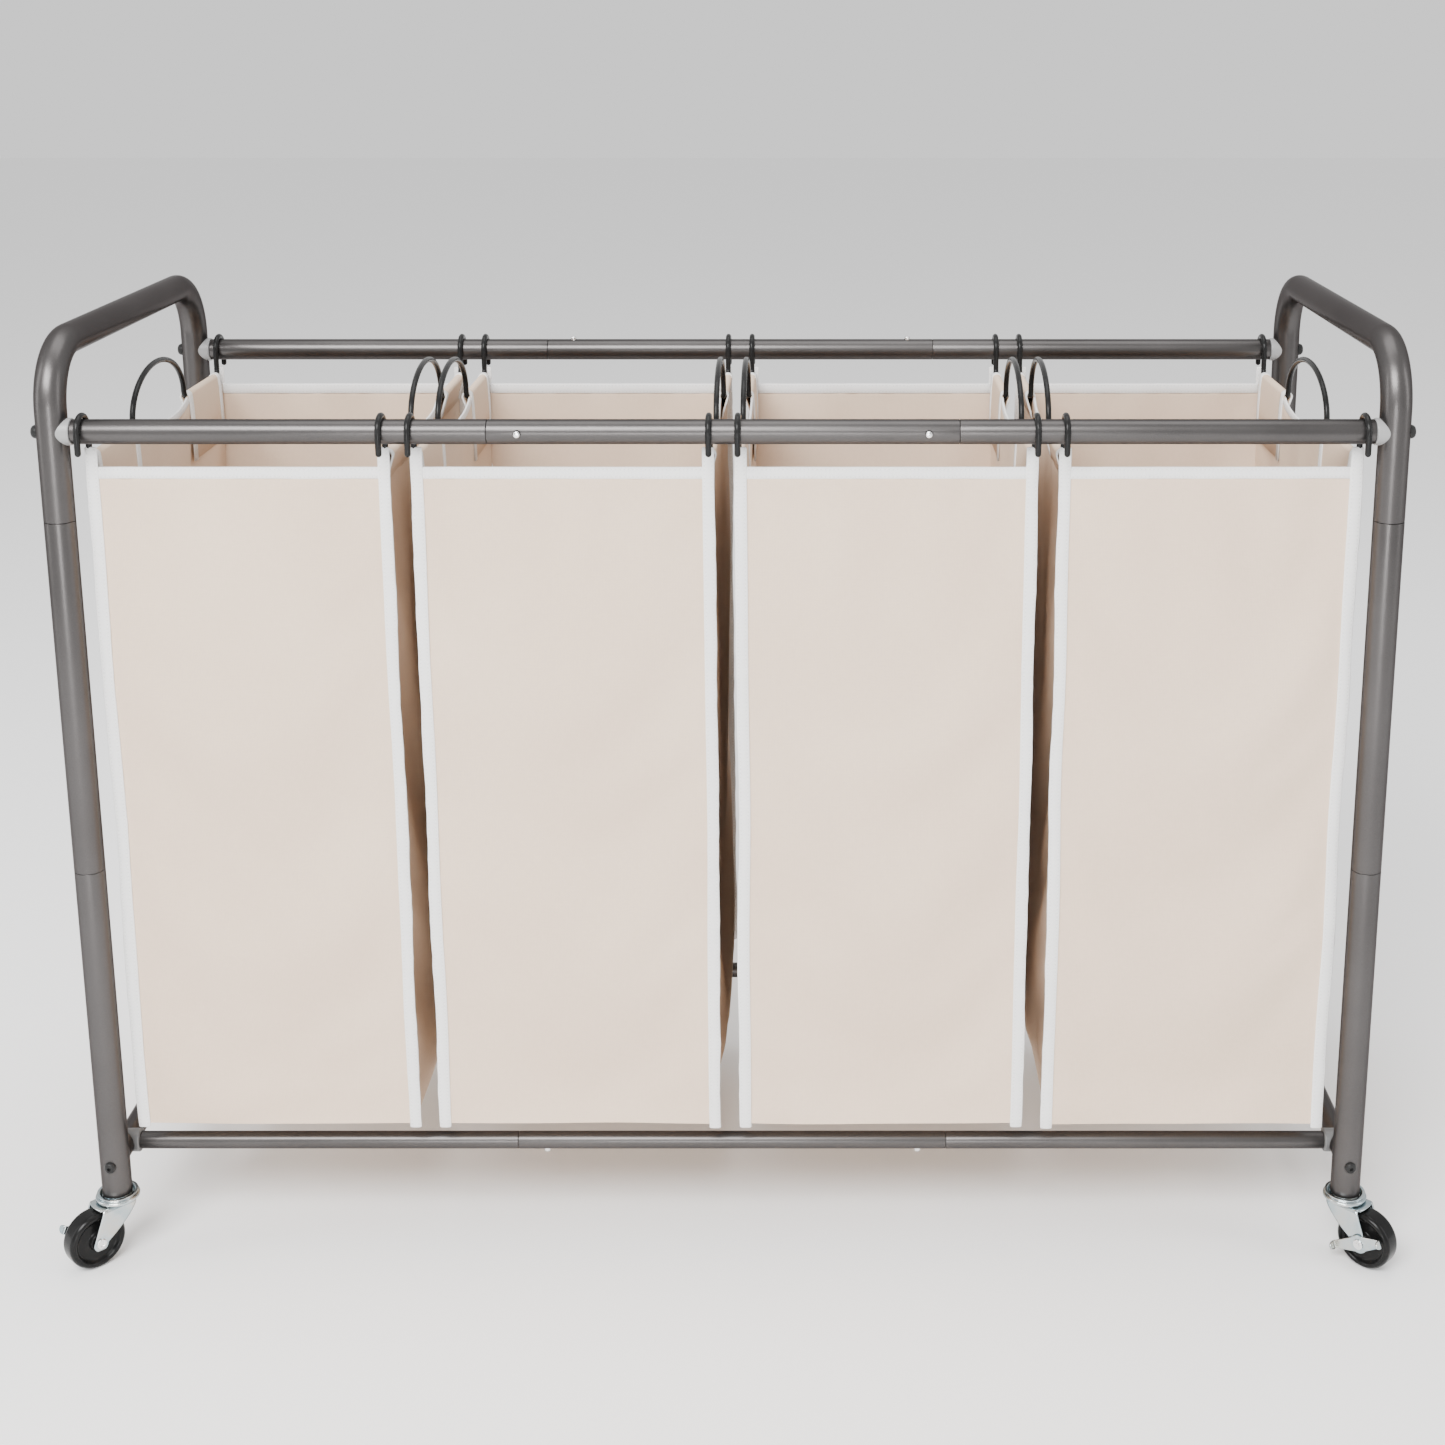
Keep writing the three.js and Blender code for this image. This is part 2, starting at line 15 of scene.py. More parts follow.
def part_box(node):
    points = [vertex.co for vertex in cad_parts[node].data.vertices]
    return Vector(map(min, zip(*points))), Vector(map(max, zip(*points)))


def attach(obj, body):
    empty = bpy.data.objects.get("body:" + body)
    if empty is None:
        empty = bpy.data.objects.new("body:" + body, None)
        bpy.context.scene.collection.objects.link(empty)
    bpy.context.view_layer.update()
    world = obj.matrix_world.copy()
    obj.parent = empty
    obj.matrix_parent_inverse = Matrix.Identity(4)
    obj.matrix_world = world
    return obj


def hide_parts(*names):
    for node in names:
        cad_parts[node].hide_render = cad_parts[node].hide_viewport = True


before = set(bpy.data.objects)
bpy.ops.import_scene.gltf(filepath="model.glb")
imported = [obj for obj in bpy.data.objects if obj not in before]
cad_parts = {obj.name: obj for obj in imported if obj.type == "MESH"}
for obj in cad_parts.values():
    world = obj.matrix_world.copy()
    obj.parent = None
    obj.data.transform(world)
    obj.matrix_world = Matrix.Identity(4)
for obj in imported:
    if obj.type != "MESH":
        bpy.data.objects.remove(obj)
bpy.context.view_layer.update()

MM = 0.001
SIDES = (("left", -1), ("right", 1))
ENDS = (("front", -1), ("rear", 1))
CORNERS = [(f"{end}_{side}", sx, sy) for side, sx in SIDES for end, sy in ENDS]
UP = Vector((0, 0, 1))


def mm(corners):
    """Corners written in millimetres, as metres."""
    return [tuple(size * MM for size in corner) for corner in corners]


# %% [markdown]
# Most sizes below are read off a node of the frame, so the pieces land where the
# solids are; the wall, the fit, the neck and the crossbar's radius are given. A node's
# box gives its lowest and highest corner; the middle of a tube's box is its axis, and
# half of its width is its radius.

# %% Read the frame's sizes
def size_of(node):
    lo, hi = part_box(node)
    return hi - lo


def middle_of(node):
    lo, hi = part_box(node)
    return (lo + hi) / 2


LEG_R = size_of("lower_leg_front_left").x / 2
LEG_X = middle_of("lower_leg_front_right").x
LEG_Y = middle_of("lower_leg_rear_right").y
RAIL_R = size_of("front_rail_middle").z / 2
RAIL_Z = middle_of("front_rail_middle").z
LOWER_RAIL_R = size_of("lower_front_rail_middle").z / 2
LOWER_Z = middle_of("lower_front_rail_middle").z
CROSSBAR_R = 9.5 * MM
WALL = 1.2 * MM
FIT = 0.3 * MM
SPIGOT = 32 * MM
print("leg", LEG_R, "rail", RAIL_R, "lower rail", LOWER_RAIL_R, "at heights", RAIL_Z, LOWER_Z)

# %% [markdown]
# A finish is a material made of nodes. Long sums of Math nodes are hard to read, so
# one class wraps a socket and lets plain Python operators add the nodes. Everything
# that is not arithmetic comes from `add`, which takes the node's type, its settings
# and what its sockets hold.

# %% Shader helpers
class Signal:
    """One output socket of a finish. Arithmetic on it adds Math nodes."""

    def __init__(self, finish, socket):
        self.finish, self.socket = finish, socket

    def __add__(self, other):
        return self.finish.math("ADD", self, other)

    def __sub__(self, other):
        return self.finish.math("SUBTRACT", self, other)

    def __rsub__(self, other):
        return self.finish.math("SUBTRACT", other, self)

    def __mul__(self, other):
        return self.finish.math("MULTIPLY", self, other)

    def __lt__(self, other):
        return self.finish.math("LESS_THAN", self, other)

    def __abs__(self):
        return self.finish.math("ABSOLUTE", self)

    __radd__ = __add__
    __rmul__ = __mul__


class Finish:
    """A Principled material, and the nodes that feed it."""

    def __init__(self, name, **constants):
        self.material = bpy.data.materials.new(name)
        self.material.use_nodes = True
        self.tree = self.material.node_tree
        self.shader = self.tree.nodes["Principled BSDF"]
        self.feed(**constants)

    def add(self, kind, inputs=None, output=0, stops=None, **settings):
        node = self.tree.nodes.new(kind)
        for key, value in settings.items():
            setattr(node, key, value)
        if stops:
            ramp = node.color_ramp.elements
            while len(ramp) < len(stops):
                ramp.new(0.5)
            for element, (place, colour) in zip(ramp, stops):
                element.position = place
                element.color = (*colour, 1)
        for key, value in (inputs or {}).items():
            self.connect(value, node.inputs[key])
        return Signal(self, node.outputs[output])

    def connect(self, value, socket):
        if isinstance(value, Signal):
            self.tree.links.new(value.socket, socket)
        elif isinstance(value, tuple) and len(value) == 3 and socket.type == "RGBA":
            socket.default_value = (*value, 1)
        else:
            socket.default_value = value

    def math(self, operation, *values):
        return self.add("ShaderNodeMath", dict(enumerate(values)), operation=operation)

    def feed(self, **sockets):
        for name, value in sockets.items():
            title = name.replace("_", " ").title().replace("Ior", "IOR")
            self.connect(value, self.shader.inputs[title])

    def place(self):
        """Where the point is on the object, in metres."""
        return self.add("ShaderNodeTexCoord", output="Object")

    def noise(self, scale, detail=2.0):
        sockets = {"Vector": self.place(), "Scale": scale, "Detail": detail}
        return self.add("ShaderNodeTexNoise", sockets)

    def mix(self, factor, low, high):
        """A colour between low and high. Sockets 6 and 7 are Mix's two colours."""
        sockets = {"Factor": factor, 6: low, 7: high}
        return self.add("ShaderNodeMix", sockets, output=2, data_type="RGBA")

    def bump(self, height, strength, distance):
        sockets = {"Height": height, "Strength": strength, "Distance": distance}
        self.feed(Normal=self.add("ShaderNodeBump", sockets))


def grey(level):
    return (level, level, level)


# %% [markdown]
# The tubes carry a satin bronze-grey powder coat that is full of metal flake, so it is
# nearly a metal to the light, with darker edges, which the specular tint gives. Flake
# is too fine to see one by one, so it is a small, fast colour noise. Powder coat also
# has an orange-peel surface: a shallow bump a few millimetres across.

# %% Paint
def powder_coat():
    coat = Finish(
        "powder coat", metallic=0.85, coat_weight=0.04, specular_tint=(0.35, 0.33, 0.33))
    flake = coat.noise(2600, detail=1)
    cloud = coat.noise(9, detail=3)
    dark, light = (0.026, 0.024, 0.0235), (0.152, 0.144, 0.142)
    shade = flake * 0.5 + cloud * 0.35
    coat.feed(base_color=coat.mix(shade, dark, light), roughness=0.27 + cloud * 0.12)
    coat.bump(coat.noise(380, detail=1), 0.028, 0.4 * MM)
    return coat.material


def cast_grey(name, colour):
    plastic = Finish(name)
    speck = plastic.noise(900)
    dark = tuple(c * 0.93 for c in colour)
    plastic.feed(base_color=plastic.mix(speck, dark, colour))
    plastic.feed(roughness=0.30 + plastic.noise(60) * 0.16)
    plastic.bump(speck, 0.08, 0.2 * MM)
    return plastic.material


paint = powder_coat()
saddle_grey = cast_grey("saddle grey", grey(0.27))
cup_grey = cast_grey("cup grey", grey(0.13))
print("paint and moulded greys ready")

# %% [markdown]
# Bright zinc plate is a cool, slightly uneven mirror: it shows a faint blue and straw
# tint that wanders, and the drawing marks of the pressed sheet under it. The snap
# buttons are plain polished steel.

# %% Plated and polished metal
def zinc_plate():
    zinc = Finish("zinc plate", metallic=1.0, specular_tint=(0.42, 0.48, 0.50))
    blue, bright, straw = (0.36, 0.45, 0.49), (0.50, 0.54, 0.55), (0.56, 0.53, 0.47)
    stops = ((0.30, blue), (0.52, bright), (0.72, straw))
    drift = zinc.noise(55, detail=3)
    tint = zinc.add("ShaderNodeValToRGB", {"Fac": drift}, stops=stops)
    zinc.feed(base_color=tint, roughness=0.15 + zinc.noise(160) * 0.14)
    zinc.bump(zinc.noise(700), 0.06, 0.2 * MM)
    return zinc.material


def polished_steel():
    steel = Finish("polished steel", metallic=1.0)
    scuff = steel.noise(900, detail=4)
    steel.feed(base_color=steel.mix(scuff, grey(0.70), grey(0.86)))
    steel.feed(roughness=0.12 + scuff * 0.14)
    steel.bump(scuff, 0.03, 0.1 * MM)
    return steel.material


zinc = zinc_plate()
steel = polished_steel()
print("zinc and steel ready")

# %% [markdown]
# Three blacks: moulded wheel plastic with a fine skin and a little dust, the dipped
# coat of the hangers, which runs in soft waves along the wire, and bolt blacking.

# %% Blacks
def gloss_black(name, level, rough, wave, depth):
    black = Finish(name, specular_ior_level=0.15)
    cloud = black.noise(wave, detail=3)
    black.feed(base_color=black.mix(cloud, grey(level), grey(level * 2.4)))
    black.feed(roughness=rough + cloud * 0.18)
    black.bump(cloud, depth, 0.3 * MM)
    return black.material


wheel_black = gloss_black("wheel black", 0.004, 0.12, 90, 0.05)
wire_black = gloss_black("wire black", 0.006, 0.16, 220, 0.10)
bolt_black = gloss_black("bolt black", 0.010, 0.28, 500, 0.10)
print("blacks ready")

# %% [markdown]
# The bags are a cream, closely woven polyester. Each panel carries its own UV map in
# metres, so the yarns run along the panel wherever it bends. Warp and weft are two
# sines; where one yarn passes over the other is a checker of the same period, and
# the bump comes from whichever is on top. Broad noise adds the soft handling creases.

# %% Fabric
YARN = 1.2 * MM


def woven_fabric():
    cloth = Finish("cream fabric", specular_ior_level=0.25)
    uv = cloth.add("ShaderNodeUVMap", uv_map="weave")
    across, along = (
        cloth.add("ShaderNodeSeparateXYZ", {0: uv}, output=axis) * (1 / YARN) for axis in (0, 1))
    warp = abs(cloth.math("SINE", across * math.pi))
    weft = abs(cloth.math("SINE", along * math.pi))
    cell = cloth.math("FLOOR", across) + cloth.math("FLOOR", along)
    over = cloth.math("PINGPONG", cell, 1.0)
    weave = warp * over + weft * (1 - over)
    slub = cloth.noise(240, detail=3)
    cloud = cloth.noise(7, detail=4)
    crease = cloth.noise(26, detail=3)
    low, high = (0.580, 0.435, 0.320), (0.815, 0.650, 0.512)
    # The weave term darkens the colour in the hollows between the yarns, a painted shade; slub and
    # cloud are the cloth's own uneven tone.
    shade = 0.30 * weave + 0.22 * slub + 0.42 * cloud
    cloth.feed(base_color=cloth.mix(shade, low, high), roughness=0.78 + slub * 0.14)
    height = weave * (0.10 * MM) + slub * (0.05 * MM) + crease * (1.1 * MM)
    cloth.bump(height, 0.55, 1.0)
    return cloth.material


fabric = woven_fabric()
print("fabric ready, yarn", YARN)

# %% [markdown]
# The seams are bound with white tape: a ribbed ribbon folded over the raw edges and
# sewn down. Each tape carries two numbers on its surface, how far along and how far
# across the point is, so that ribs and stitches follow it round every bend.

# %% Binding tape
RIB = 1.1 * MM
STITCH = 3.4 * MM
STITCHED_SHARE = 0.68
STITCH_LINE = 3.0 * MM
THREAD_R = 0.45 * MM


def binding_tape():
    tape = Finish("white binding", roughness=0.8, specular_ior_level=0.25)
    run = tape.add("ShaderNodeAttribute", output="Fac", attribute_name="run")
    across = tape.add("ShaderNodeAttribute", output="Fac", attribute_name="across")
    rib = abs(tape.math("SINE", run * (math.pi / RIB)))
    dash = tape.math("FRACT", run * (1 / STITCH)) < STITCHED_SHARE
    line = abs(abs(across) - STITCH_LINE) < THREAD_R
    thread = dash * line
    groove = line * (1 - dash)
    fuzz = tape.noise(420, detail=2)
    # The colour is darker in the valleys between the ribs and in the stitch holes, a painted
    # shade; the thread is lighter and the fuzz varies the tone.
    shade = 0.45 * rib + 0.35 * fuzz + 0.2 * thread - 0.45 * groove
    tape.feed(base_color=tape.mix(shade, (0.70, 0.695, 0.685), (0.90, 0.895, 0.885)))
    height = rib * (0.16 * MM) + fuzz * (0.1 * MM)
    height = height + thread * (0.35 * MM) - groove * (0.3 * MM)
    tape.bump(height, 0.6, 1.0)
    return tape.material


binding = binding_tape()
print("binding ready, rib", RIB, "stitch", STITCH)

# %% [markdown]
# Round things are turned: a half outline of a few corners is spun about its axis.
# Real parts have no perfectly sharp corners, so each corner may name a radius and is
# replaced by a short curve before the spin.

# %% Turning
MERGE = 1e-7


def rounded(corners, steps=4):
    """Half outline with each (radius, height, fillet) corner eased by its fillet."""
    outline = []
    for i, (r, h, fillet) in enumerate(corners):
        here = Vector((r, h))
        if not fillet or i in (0, len(corners) - 1):
            outline.append(here)
            continue
        before = Vector(corners[i - 1][:2])
        after = Vector(corners[i + 1][:2])
        start = here + (before - here).normalized() * fillet
        end = here + (after - here).normalized() * fillet
        for k in range(steps + 1):
            t = k / steps
            outline.append(start * (1 - t) ** 2 + here * (2 * t * (1 - t)) + end * t**2)
    return outline


def spun(outline, steps, closed=False):
    """A half outline spun about +Z; a closed outline makes a ring."""
    bm = bmesh.new()
    verts = [bm.verts.new((p.x, 0, p.y)) for p in outline]
    ends = verts[1:] + verts[:1] if closed else verts[1:]
    for pair in zip(verts, ends):
        bm.edges.new(pair)
    bmesh.ops.spin(
        bm, geom=bm.verts[:] + bm.edges[:], cent=(0, 0, 0), axis=UP,
        angle=2 * math.pi, steps=steps, use_merge=True,
    )
    return bm


def turned(corners, steps=48, fillet_steps=4):
    """A solid spun from its half outline, which starts and ends on the axis."""
    bm = spun(rounded(corners, fillet_steps), steps)
    bmesh.ops.remove_doubles(bm, verts=bm.verts, dist=MERGE)
    return bm


def aim(bm, direction, origin):
    """Turns a piece that was made along +Z to point another way, and moves it."""
    turn = UP.rotation_difference(Vector(direction)).to_matrix().to_4x4()
    bm.transform(Matrix.Translation(Vector(origin)) @ turn)
    return bm


# %% [markdown]
# A finished bmesh becomes an object here: normals are made to point outwards, faces
# are shaded smooth except across real edges, and the piece is told which body it
# rides on and which solid it stands for.

# %% Finishing a piece
EDGE_ANGLE = math.radians(38)
made = {}


def to_object(bm, name):
    mesh = bpy.data.meshes.new(name)
    bm.to_mesh(mesh)
    bm.free()
    obj = bpy.data.objects.new(name, mesh)
    bpy.context.scene.collection.objects.link(obj)
    return obj


def smooth_faces(obj):
    obj.data.shade_smooth()
    obj.data.set_sharp_from_angle(angle=EDGE_ANGLE)


def piece(bm, name, material, body, replaces=None, recalc=True):
    bmesh.ops.remove_doubles(bm, verts=bm.verts, dist=MERGE)
    if recalc:
        bmesh.ops.recalc_face_normals(bm, faces=bm.faces)
    obj = to_object(bm, name)
    smooth_faces(obj)
    obj.data.materials.append(material)
    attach(obj, body)
    if replaces:
        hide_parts(replaces)
    made[name] = obj
    return obj


def cut_away(obj, *cutters):
    """Takes each cutter's volume out of obj, and leaves no modifier."""
    for bm in cutters:
        bmesh.ops.recalc_face_normals(bm, faces=bm.faces)
        cutter = to_object(bm, "cutter")
        modifier = obj.modifiers.new("cut", "BOOLEAN")
        modifier.operation = "DIFFERENCE"
        modifier.solver = "EXACT"
        modifier.object = cutter
        graph = bpy.context.evaluated_depsgraph_get()
        result = bpy.data.meshes.new_from_object(obj.evaluated_get(graph))
        obj.modifiers.remove(modifier)
        bpy.data.objects.remove(cutter)
        obj.data = result
    smooth_faces(obj)


def rod(radius, start, end, sides):
    """A plain bar between two points, to cut with."""
    length = (end - start).length
    bar = turned([(0, 0, 0), (radius, 0, 0), (radius, length, 0), (0, length, 0)], sides)
    return aim(bar, end - start, start)


# %% [markdown]
# The frame is knock-down: each tube has a plain open end and a swaged one, and the
# swaged neck pushes into the next tube's open end. What shows is a fine dark line
# with a slightly rolled rim on each side of it.

# %% Straight tubes
RIM = 0.45 * MM
BORE_DEPTH = 36 * MM
NECK_BORE_DEPTH = 15 * MM


def open_end(radius, h, inward):
    """Corners of an open tube end at height h; inward is +1 at the lower end."""
    bore, floor = radius - WALL, h + inward * BORE_DEPTH
    return [(0, floor, 0), (bore, floor, 0), (bore, h, RIM / 2), (radius, h, RIM)]


def swaged_end(radius, h, outward):
    """Corners of a necked tube end; outward is +1 at the upper end."""
    neck = radius - WALL - FIT
    bore = neck - WALL
    tip = h + outward * SPIGOT
    floor = tip - outward * NECK_BORE_DEPTH
    return [(radius, h, RIM), (neck, h, 0), (neck, tip, RIM), (bore, tip, RIM / 2),
            (bore, floor, 0), (0, floor, 0)]


def straight_tube(radius, start, end, swaged=False):
    """An open tube from start to end; a swaged one has its neck beyond the end."""
    start, end = Vector(start), Vector(end)
    length = (end - start).length
    far_end = swaged_end(radius, length, 1) if swaged else open_end(radius, length, -1)[::-1]
    return aim(turned(open_end(radius, 0, 1) + far_end), end - start, start)


def painted_tube(bm, name, node=None):
    return piece(bm, f"{name}_tube", paint, "frame", node)


def leg_tubes():
    for corner, sx, sy in CORNERS:
        x, y = sx * LEG_X, sy * LEG_Y
        for node in (f"lower_leg_{corner}", f"middle_leg_{corner}"):
            lo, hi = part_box(node)
            bm = straight_tube(LEG_R, (x, y, lo.z), (x, y, hi.z - SPIGOT), swaged=True)
            painted_tube(bm, node, node)


leg_tubes()
print("leg tubes:", len(made))

# %% [markdown]
# Bent things are drawn with a pen: a ring of edges is extruded along a path, turned a
# little at each step, and closed at the end. The pen also writes how far it has
# gone, and how far each corner of the ring is from its middle, onto the vertices.

# %% A pen for bent bars, wires and tapes
MOUTH_RIM = 0.35 * MM


def float_layer(bm, name):
    return bm.verts.layers.float.get(name) or bm.verts.layers.float.new(name)


def tape_layers(bm):
    """How far along and how far across a tape each of its corners is."""
    return float_layer(bm, "run"), float_layer(bm, "across")


def extruded(bm, edges):
    """Extrudes edges in place: the corners that this makes, and the new edges' far ends."""
    geometry = bmesh.ops.extrude_edge_only(bm, edges=edges)["geom"]
    verts = [g for g in geometry if isinstance(g, bmesh.types.BMVert)]
    fresh = set(verts)
    edges = [g for g in geometry if isinstance(g, bmesh.types.BMEdge)]
    return verts, [e for e in edges if set(e.verts) <= fresh]


class Pen:
    def __init__(self, bm, centre, direction, radius, sides, across=None, half_width=0.0):
        """A ring about centre. half_width stretches it into a flat tape along across."""
        self.bm = bm
        self.centre = Vector(centre)
        self.direction = Vector(direction).normalized()
        self.run, self.across = tape_layers(bm)
        self.gone = 0.0
        if across is None:
            turn = UP.rotation_difference(self.direction).to_matrix().to_4x4()
        else:
            wide = Vector(across).normalized()
            axes = (wide, self.direction.cross(wide), self.direction)
            turn = Matrix(axes).transposed().to_4x4()
        verts = bmesh.ops.create_circle(bm, radius=radius, segments=sides)["verts"]
        for v in verts:
            if abs(v.co.x) > 1e-6:
                v.co.x += math.copysign(half_width, v.co.x)
            v[self.across] = v.co.x
        bmesh.ops.transform(bm, verts=verts, matrix=Matrix.Translation(self.centre) @ turn)
        self.edges = list({e for v in verts for e in v.link_edges})

    def step(self, centre, direction=None, scale=1.0):
        direction = self.direction if direction is None else Vector(direction).normalized()
        centre = Vector(centre)
        verts, self.edges = extruded(self.bm, self.edges)
        bmesh.ops.translate(self.bm, verts=verts, vec=centre - self.centre)
        turn = self.direction.rotation_difference(direction).to_matrix()
        bmesh.ops.rotate(self.bm, verts=verts, cent=centre, matrix=turn)
        if scale != 1.0:
            shift = Matrix.Translation(-centre)
            bmesh.ops.scale(self.bm, verts=verts, vec=(scale, scale, scale), space=shift)
        self.gone += (centre - self.centre).length
        for v in verts:
            v[self.run] = self.gone
        self.centre, self.direction = centre, direction

    def follow(self, points):
        points = [Vector(p) for p in points]
        for i, point in enumerate(points):
            before = points[i - 1] if i else self.centre
            after = points[i + 1] if i + 1 < len(points) else point
            heading = (point - before).normalized() + (after - point).normalized()
            self.step(point, heading)

    def dome(self, radius, steps=4):
        """Rounds the end off over one radius and closes it."""
        start, last = self.centre.copy(), 1.0
        for k in range(1, steps):
            angle = math.pi / 2 * k / steps
            size = math.cos(angle)
            self.step(start + self.direction * radius * math.sin(angle), scale=size / last)
            last = size
        bmesh.ops.edgeloop_fill(self.bm, edges=self.edges)

    def mouth(self, radius, bore, depth):
        """Turns the ring in over the tube's wall and down its bore."""
        inner = radius - MOUTH_RIM
        self.step(self.centre + self.direction * MOUTH_RIM, scale=inner / radius)
        self.step(self.centre, scale=bore / inner)
        self.step(self.centre - self.direction * depth)
        bmesh.ops.edgeloop_fill(self.bm, edges=self.edges)


def arc(centre, radius, start, end, steps):
    """Points of an arc in degrees, as (y, z); radius may be a pair."""
    ry, rz = radius if isinstance(radius, tuple) else (radius, radius)
    turns = [math.radians(start + (end - start) * k / steps) for k in range(steps + 1)]
    return [(centre[0] + ry * math.cos(a), centre[1] + rz * math.sin(a)) for a in turns]


def mirrored(half):
    """The path from the front to the middle, then the same back to the rear."""
    return half + [(-y, z) for y, z in half[-2::-1]]


# %% [markdown]
# Each end of the frame is one tube bent into an arch, which is also the grip that
# the sorter is pushed by. Its bends have the even radius of a tube bender.

# %% End arches
ARCH_BEND = 50 * MM
ARCH_SIDES = 48


def arches():
    for side, sx in SIDES:
        lo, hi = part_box(f"arch_{side}")
        bar_z, foot_z = hi.z - LEG_R, lo.z + MOUTH_RIM
        bend = arc((-LEG_Y + ARCH_BEND, bar_z - ARCH_BEND), ARCH_BEND, 180, 90, 18)
        x = sx * LEG_X
        path = [(x, y, z) for y, z in mirrored(bend + [(0.0, bar_z)])] + [(x, LEG_Y, foot_z)]
        bm = bmesh.new()
        start = (x, -LEG_Y, foot_z)
        pen, back = (Pen(bm, start, heading, LEG_R, ARCH_SIDES) for heading in (UP, -UP))
        pen.follow(path)
        pen.direction = -UP
        for end in (pen, back):
            end.mouth(LEG_R, LEG_R - WALL, BORE_DEPTH)
        painted_tube(bm, f"arch_{side}", f"arch_{side}")


arches()
print("arches drawn")

# %% [markdown]
# The four long rails are three tubes each. Near each joint a sprung steel button
# stands through a hole in both tubes and locks them; pressing it lets them slide
# apart. The holes are drilled, so that a dark ring shows round each button.

# %% Rails and snap buttons
JOINT_X = size_of("front_rail_middle").x / 2
BUTTON_X = middle_of("front_rail_button_right").x
HOLE_R = 3.2 * MM
BUTTON_R, BUTTON_DOME = 2.8 * MM, 1.5 * MM
BUTTON_FOOT, BUTTON_SHOULDER, BUTTON_TOP = -6.4 * MM, 2.9 * MM, 3.0 * MM
RAILS = {
    "front_rail": (RAIL_R, Vector((0, -1, 0))),
    "rear_rail": (RAIL_R, UP),
    "lower_front_rail": (LOWER_RAIL_R, -UP),
    "lower_rear_rail": (LOWER_RAIL_R, -UP),
}


def snap_button(radius):
    """A domed pin from inside a tube of this radius to a little above its skin."""
    foot, shoulder, top = (
        radius + height for height in (BUTTON_FOOT, BUTTON_SHOULDER, BUTTON_TOP))
    corners = [(0, foot, 0), (BUTTON_R, foot, 0), (BUTTON_R, shoulder, BUTTON_DOME), (0, top, 0)]
    return turned(corners, steps=32, fillet_steps=8)


def rail(name, radius, facing):
    """Three tubes and two buttons. The lower rear rail's solid is one node for all."""
    whole = name == "lower_rear_rail"
    _, y, z = middle_of(name if whole else f"{name}_middle")
    end_x = size_of("lower_rear_rail").x / 2 if "lower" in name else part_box(f"{name}_right")[1].x
    holes = [Vector((sx * BUTTON_X, y, z)) for _, sx in SIDES]

    def drill(tube, *places):
        cut_away(tube, *(rod(HOLE_R, at, at + facing * 2 * radius, 24) for at in places))

    for (side, sx), at in zip(SIDES, holes):
        start, end = (sx * end_x, y, z), (sx * (JOINT_X + FIT), y, z)
        outer = f"{name}_{side}"
        bm = straight_tube(radius, start, end, swaged=True)
        drill(painted_tube(bm, outer, None if whole else outer), at)
        node = f"{name}_button_{side}"
        button = aim(snap_button(radius), facing, at)
        piece(button, f"{node}_dome", steel, node, node)
    bm = straight_tube(radius, (-JOINT_X, y, z), (JOINT_X, y, z))
    drill(painted_tube(bm, f"{name}_middle", name if whole else f"{name}_middle"), *holes)


for rail_name, settings in RAILS.items():
    rail(rail_name, *settings)
print("rails with their buttons:", len(RAILS))

# %% [markdown]
# A flat tube end cannot sit on a round leg, so a moulded saddle goes between: coped
# to the leg on one side and flat on the other. Bolts pass through the leg and the
# saddle into the rail. The crossbars are coped and bolted to the legs in the same
# way, and carry a cup for each lower rail.

# %% Saddles, crossbars and cups
SADDLE_R, CUP_R = 11 * MM, 10 * MM
CUP_REACH, CUP_LIP = 13 * MM, 0.2 * MM
MOULD_EDGE = 1.2 * MM
COPE_GAP = 0.05 * MM
CUP_Y = abs(middle_of("lower_front_rail_middle").y)


def cope(obj, radius, centre, axis):
    """Hollows a piece out to sit against a round bar through centre."""
    half = Vector(axis) * 30 * MM
    cut_away(obj, rod(radius + COPE_GAP, centre - half, centre + half, 64))


def saddle(corner, sx, sy):
    node = f"saddle_{corner}"
    at = Vector((sx * LEG_X, sy * LEG_Y, RAIL_Z))
    reach = LEG_X - abs(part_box(node)[0 if sx > 0 else 1].x)
    bm = turned([(0, 0, 0), (SADDLE_R, 0, 0), (SADDLE_R, reach, MOULD_EDGE), (0, reach, 0)])
    bm = aim(bm, (-sx, 0, 0), at)
    obj = piece(bm, f"{node}_block", saddle_grey, "frame", node)
    cope(obj, LEG_R, at, UP)


def lower_cup(corner, sx, sy):
    at, lip = Vector((sx * LEG_X, sy * CUP_Y, LOWER_Z)), CUP_REACH + CUP_LIP
    bm = turned([(0, 0, 0), (CUP_R, 0, 0), (CUP_R, CUP_REACH, MOULD_EDGE),
                 (LOWER_RAIL_R, lip, 0), (0, lip, 0)])
    bm = aim(bm, (-sx, 0, 0), at)
    obj = piece(bm, f"lower_cup_{corner}", cup_grey, "frame")
    cope(obj, CROSSBAR_R, at, (0, 1, 0))


def crossbar(side, sx):
    legs = [Vector((sx * LEG_X, sy * LEG_Y, LOWER_Z)) for _, sy in ENDS]
    obj = painted_tube(straight_tube(CROSSBAR_R, *legs), f"crossbar_{side}", f"crossbar_{side}")
    for leg in legs:
        cope(obj, LEG_R, leg, UP)


for place in CORNERS:
    saddle(*place)
for side, sx in SIDES:
    crossbar(side, sx)
    for end, sy in ENDS:
        lower_cup(f"{end}_{side}", sx, sy)
print("saddles, crossbars and cups set")

# %% [markdown]
# The bolts are black button heads with a hexagon socket. The rail bolts sit on the
# legs' outer sides, the crossbar bolts on their front and back, and a smaller one
# holds each lower rail from outside the crossbar.

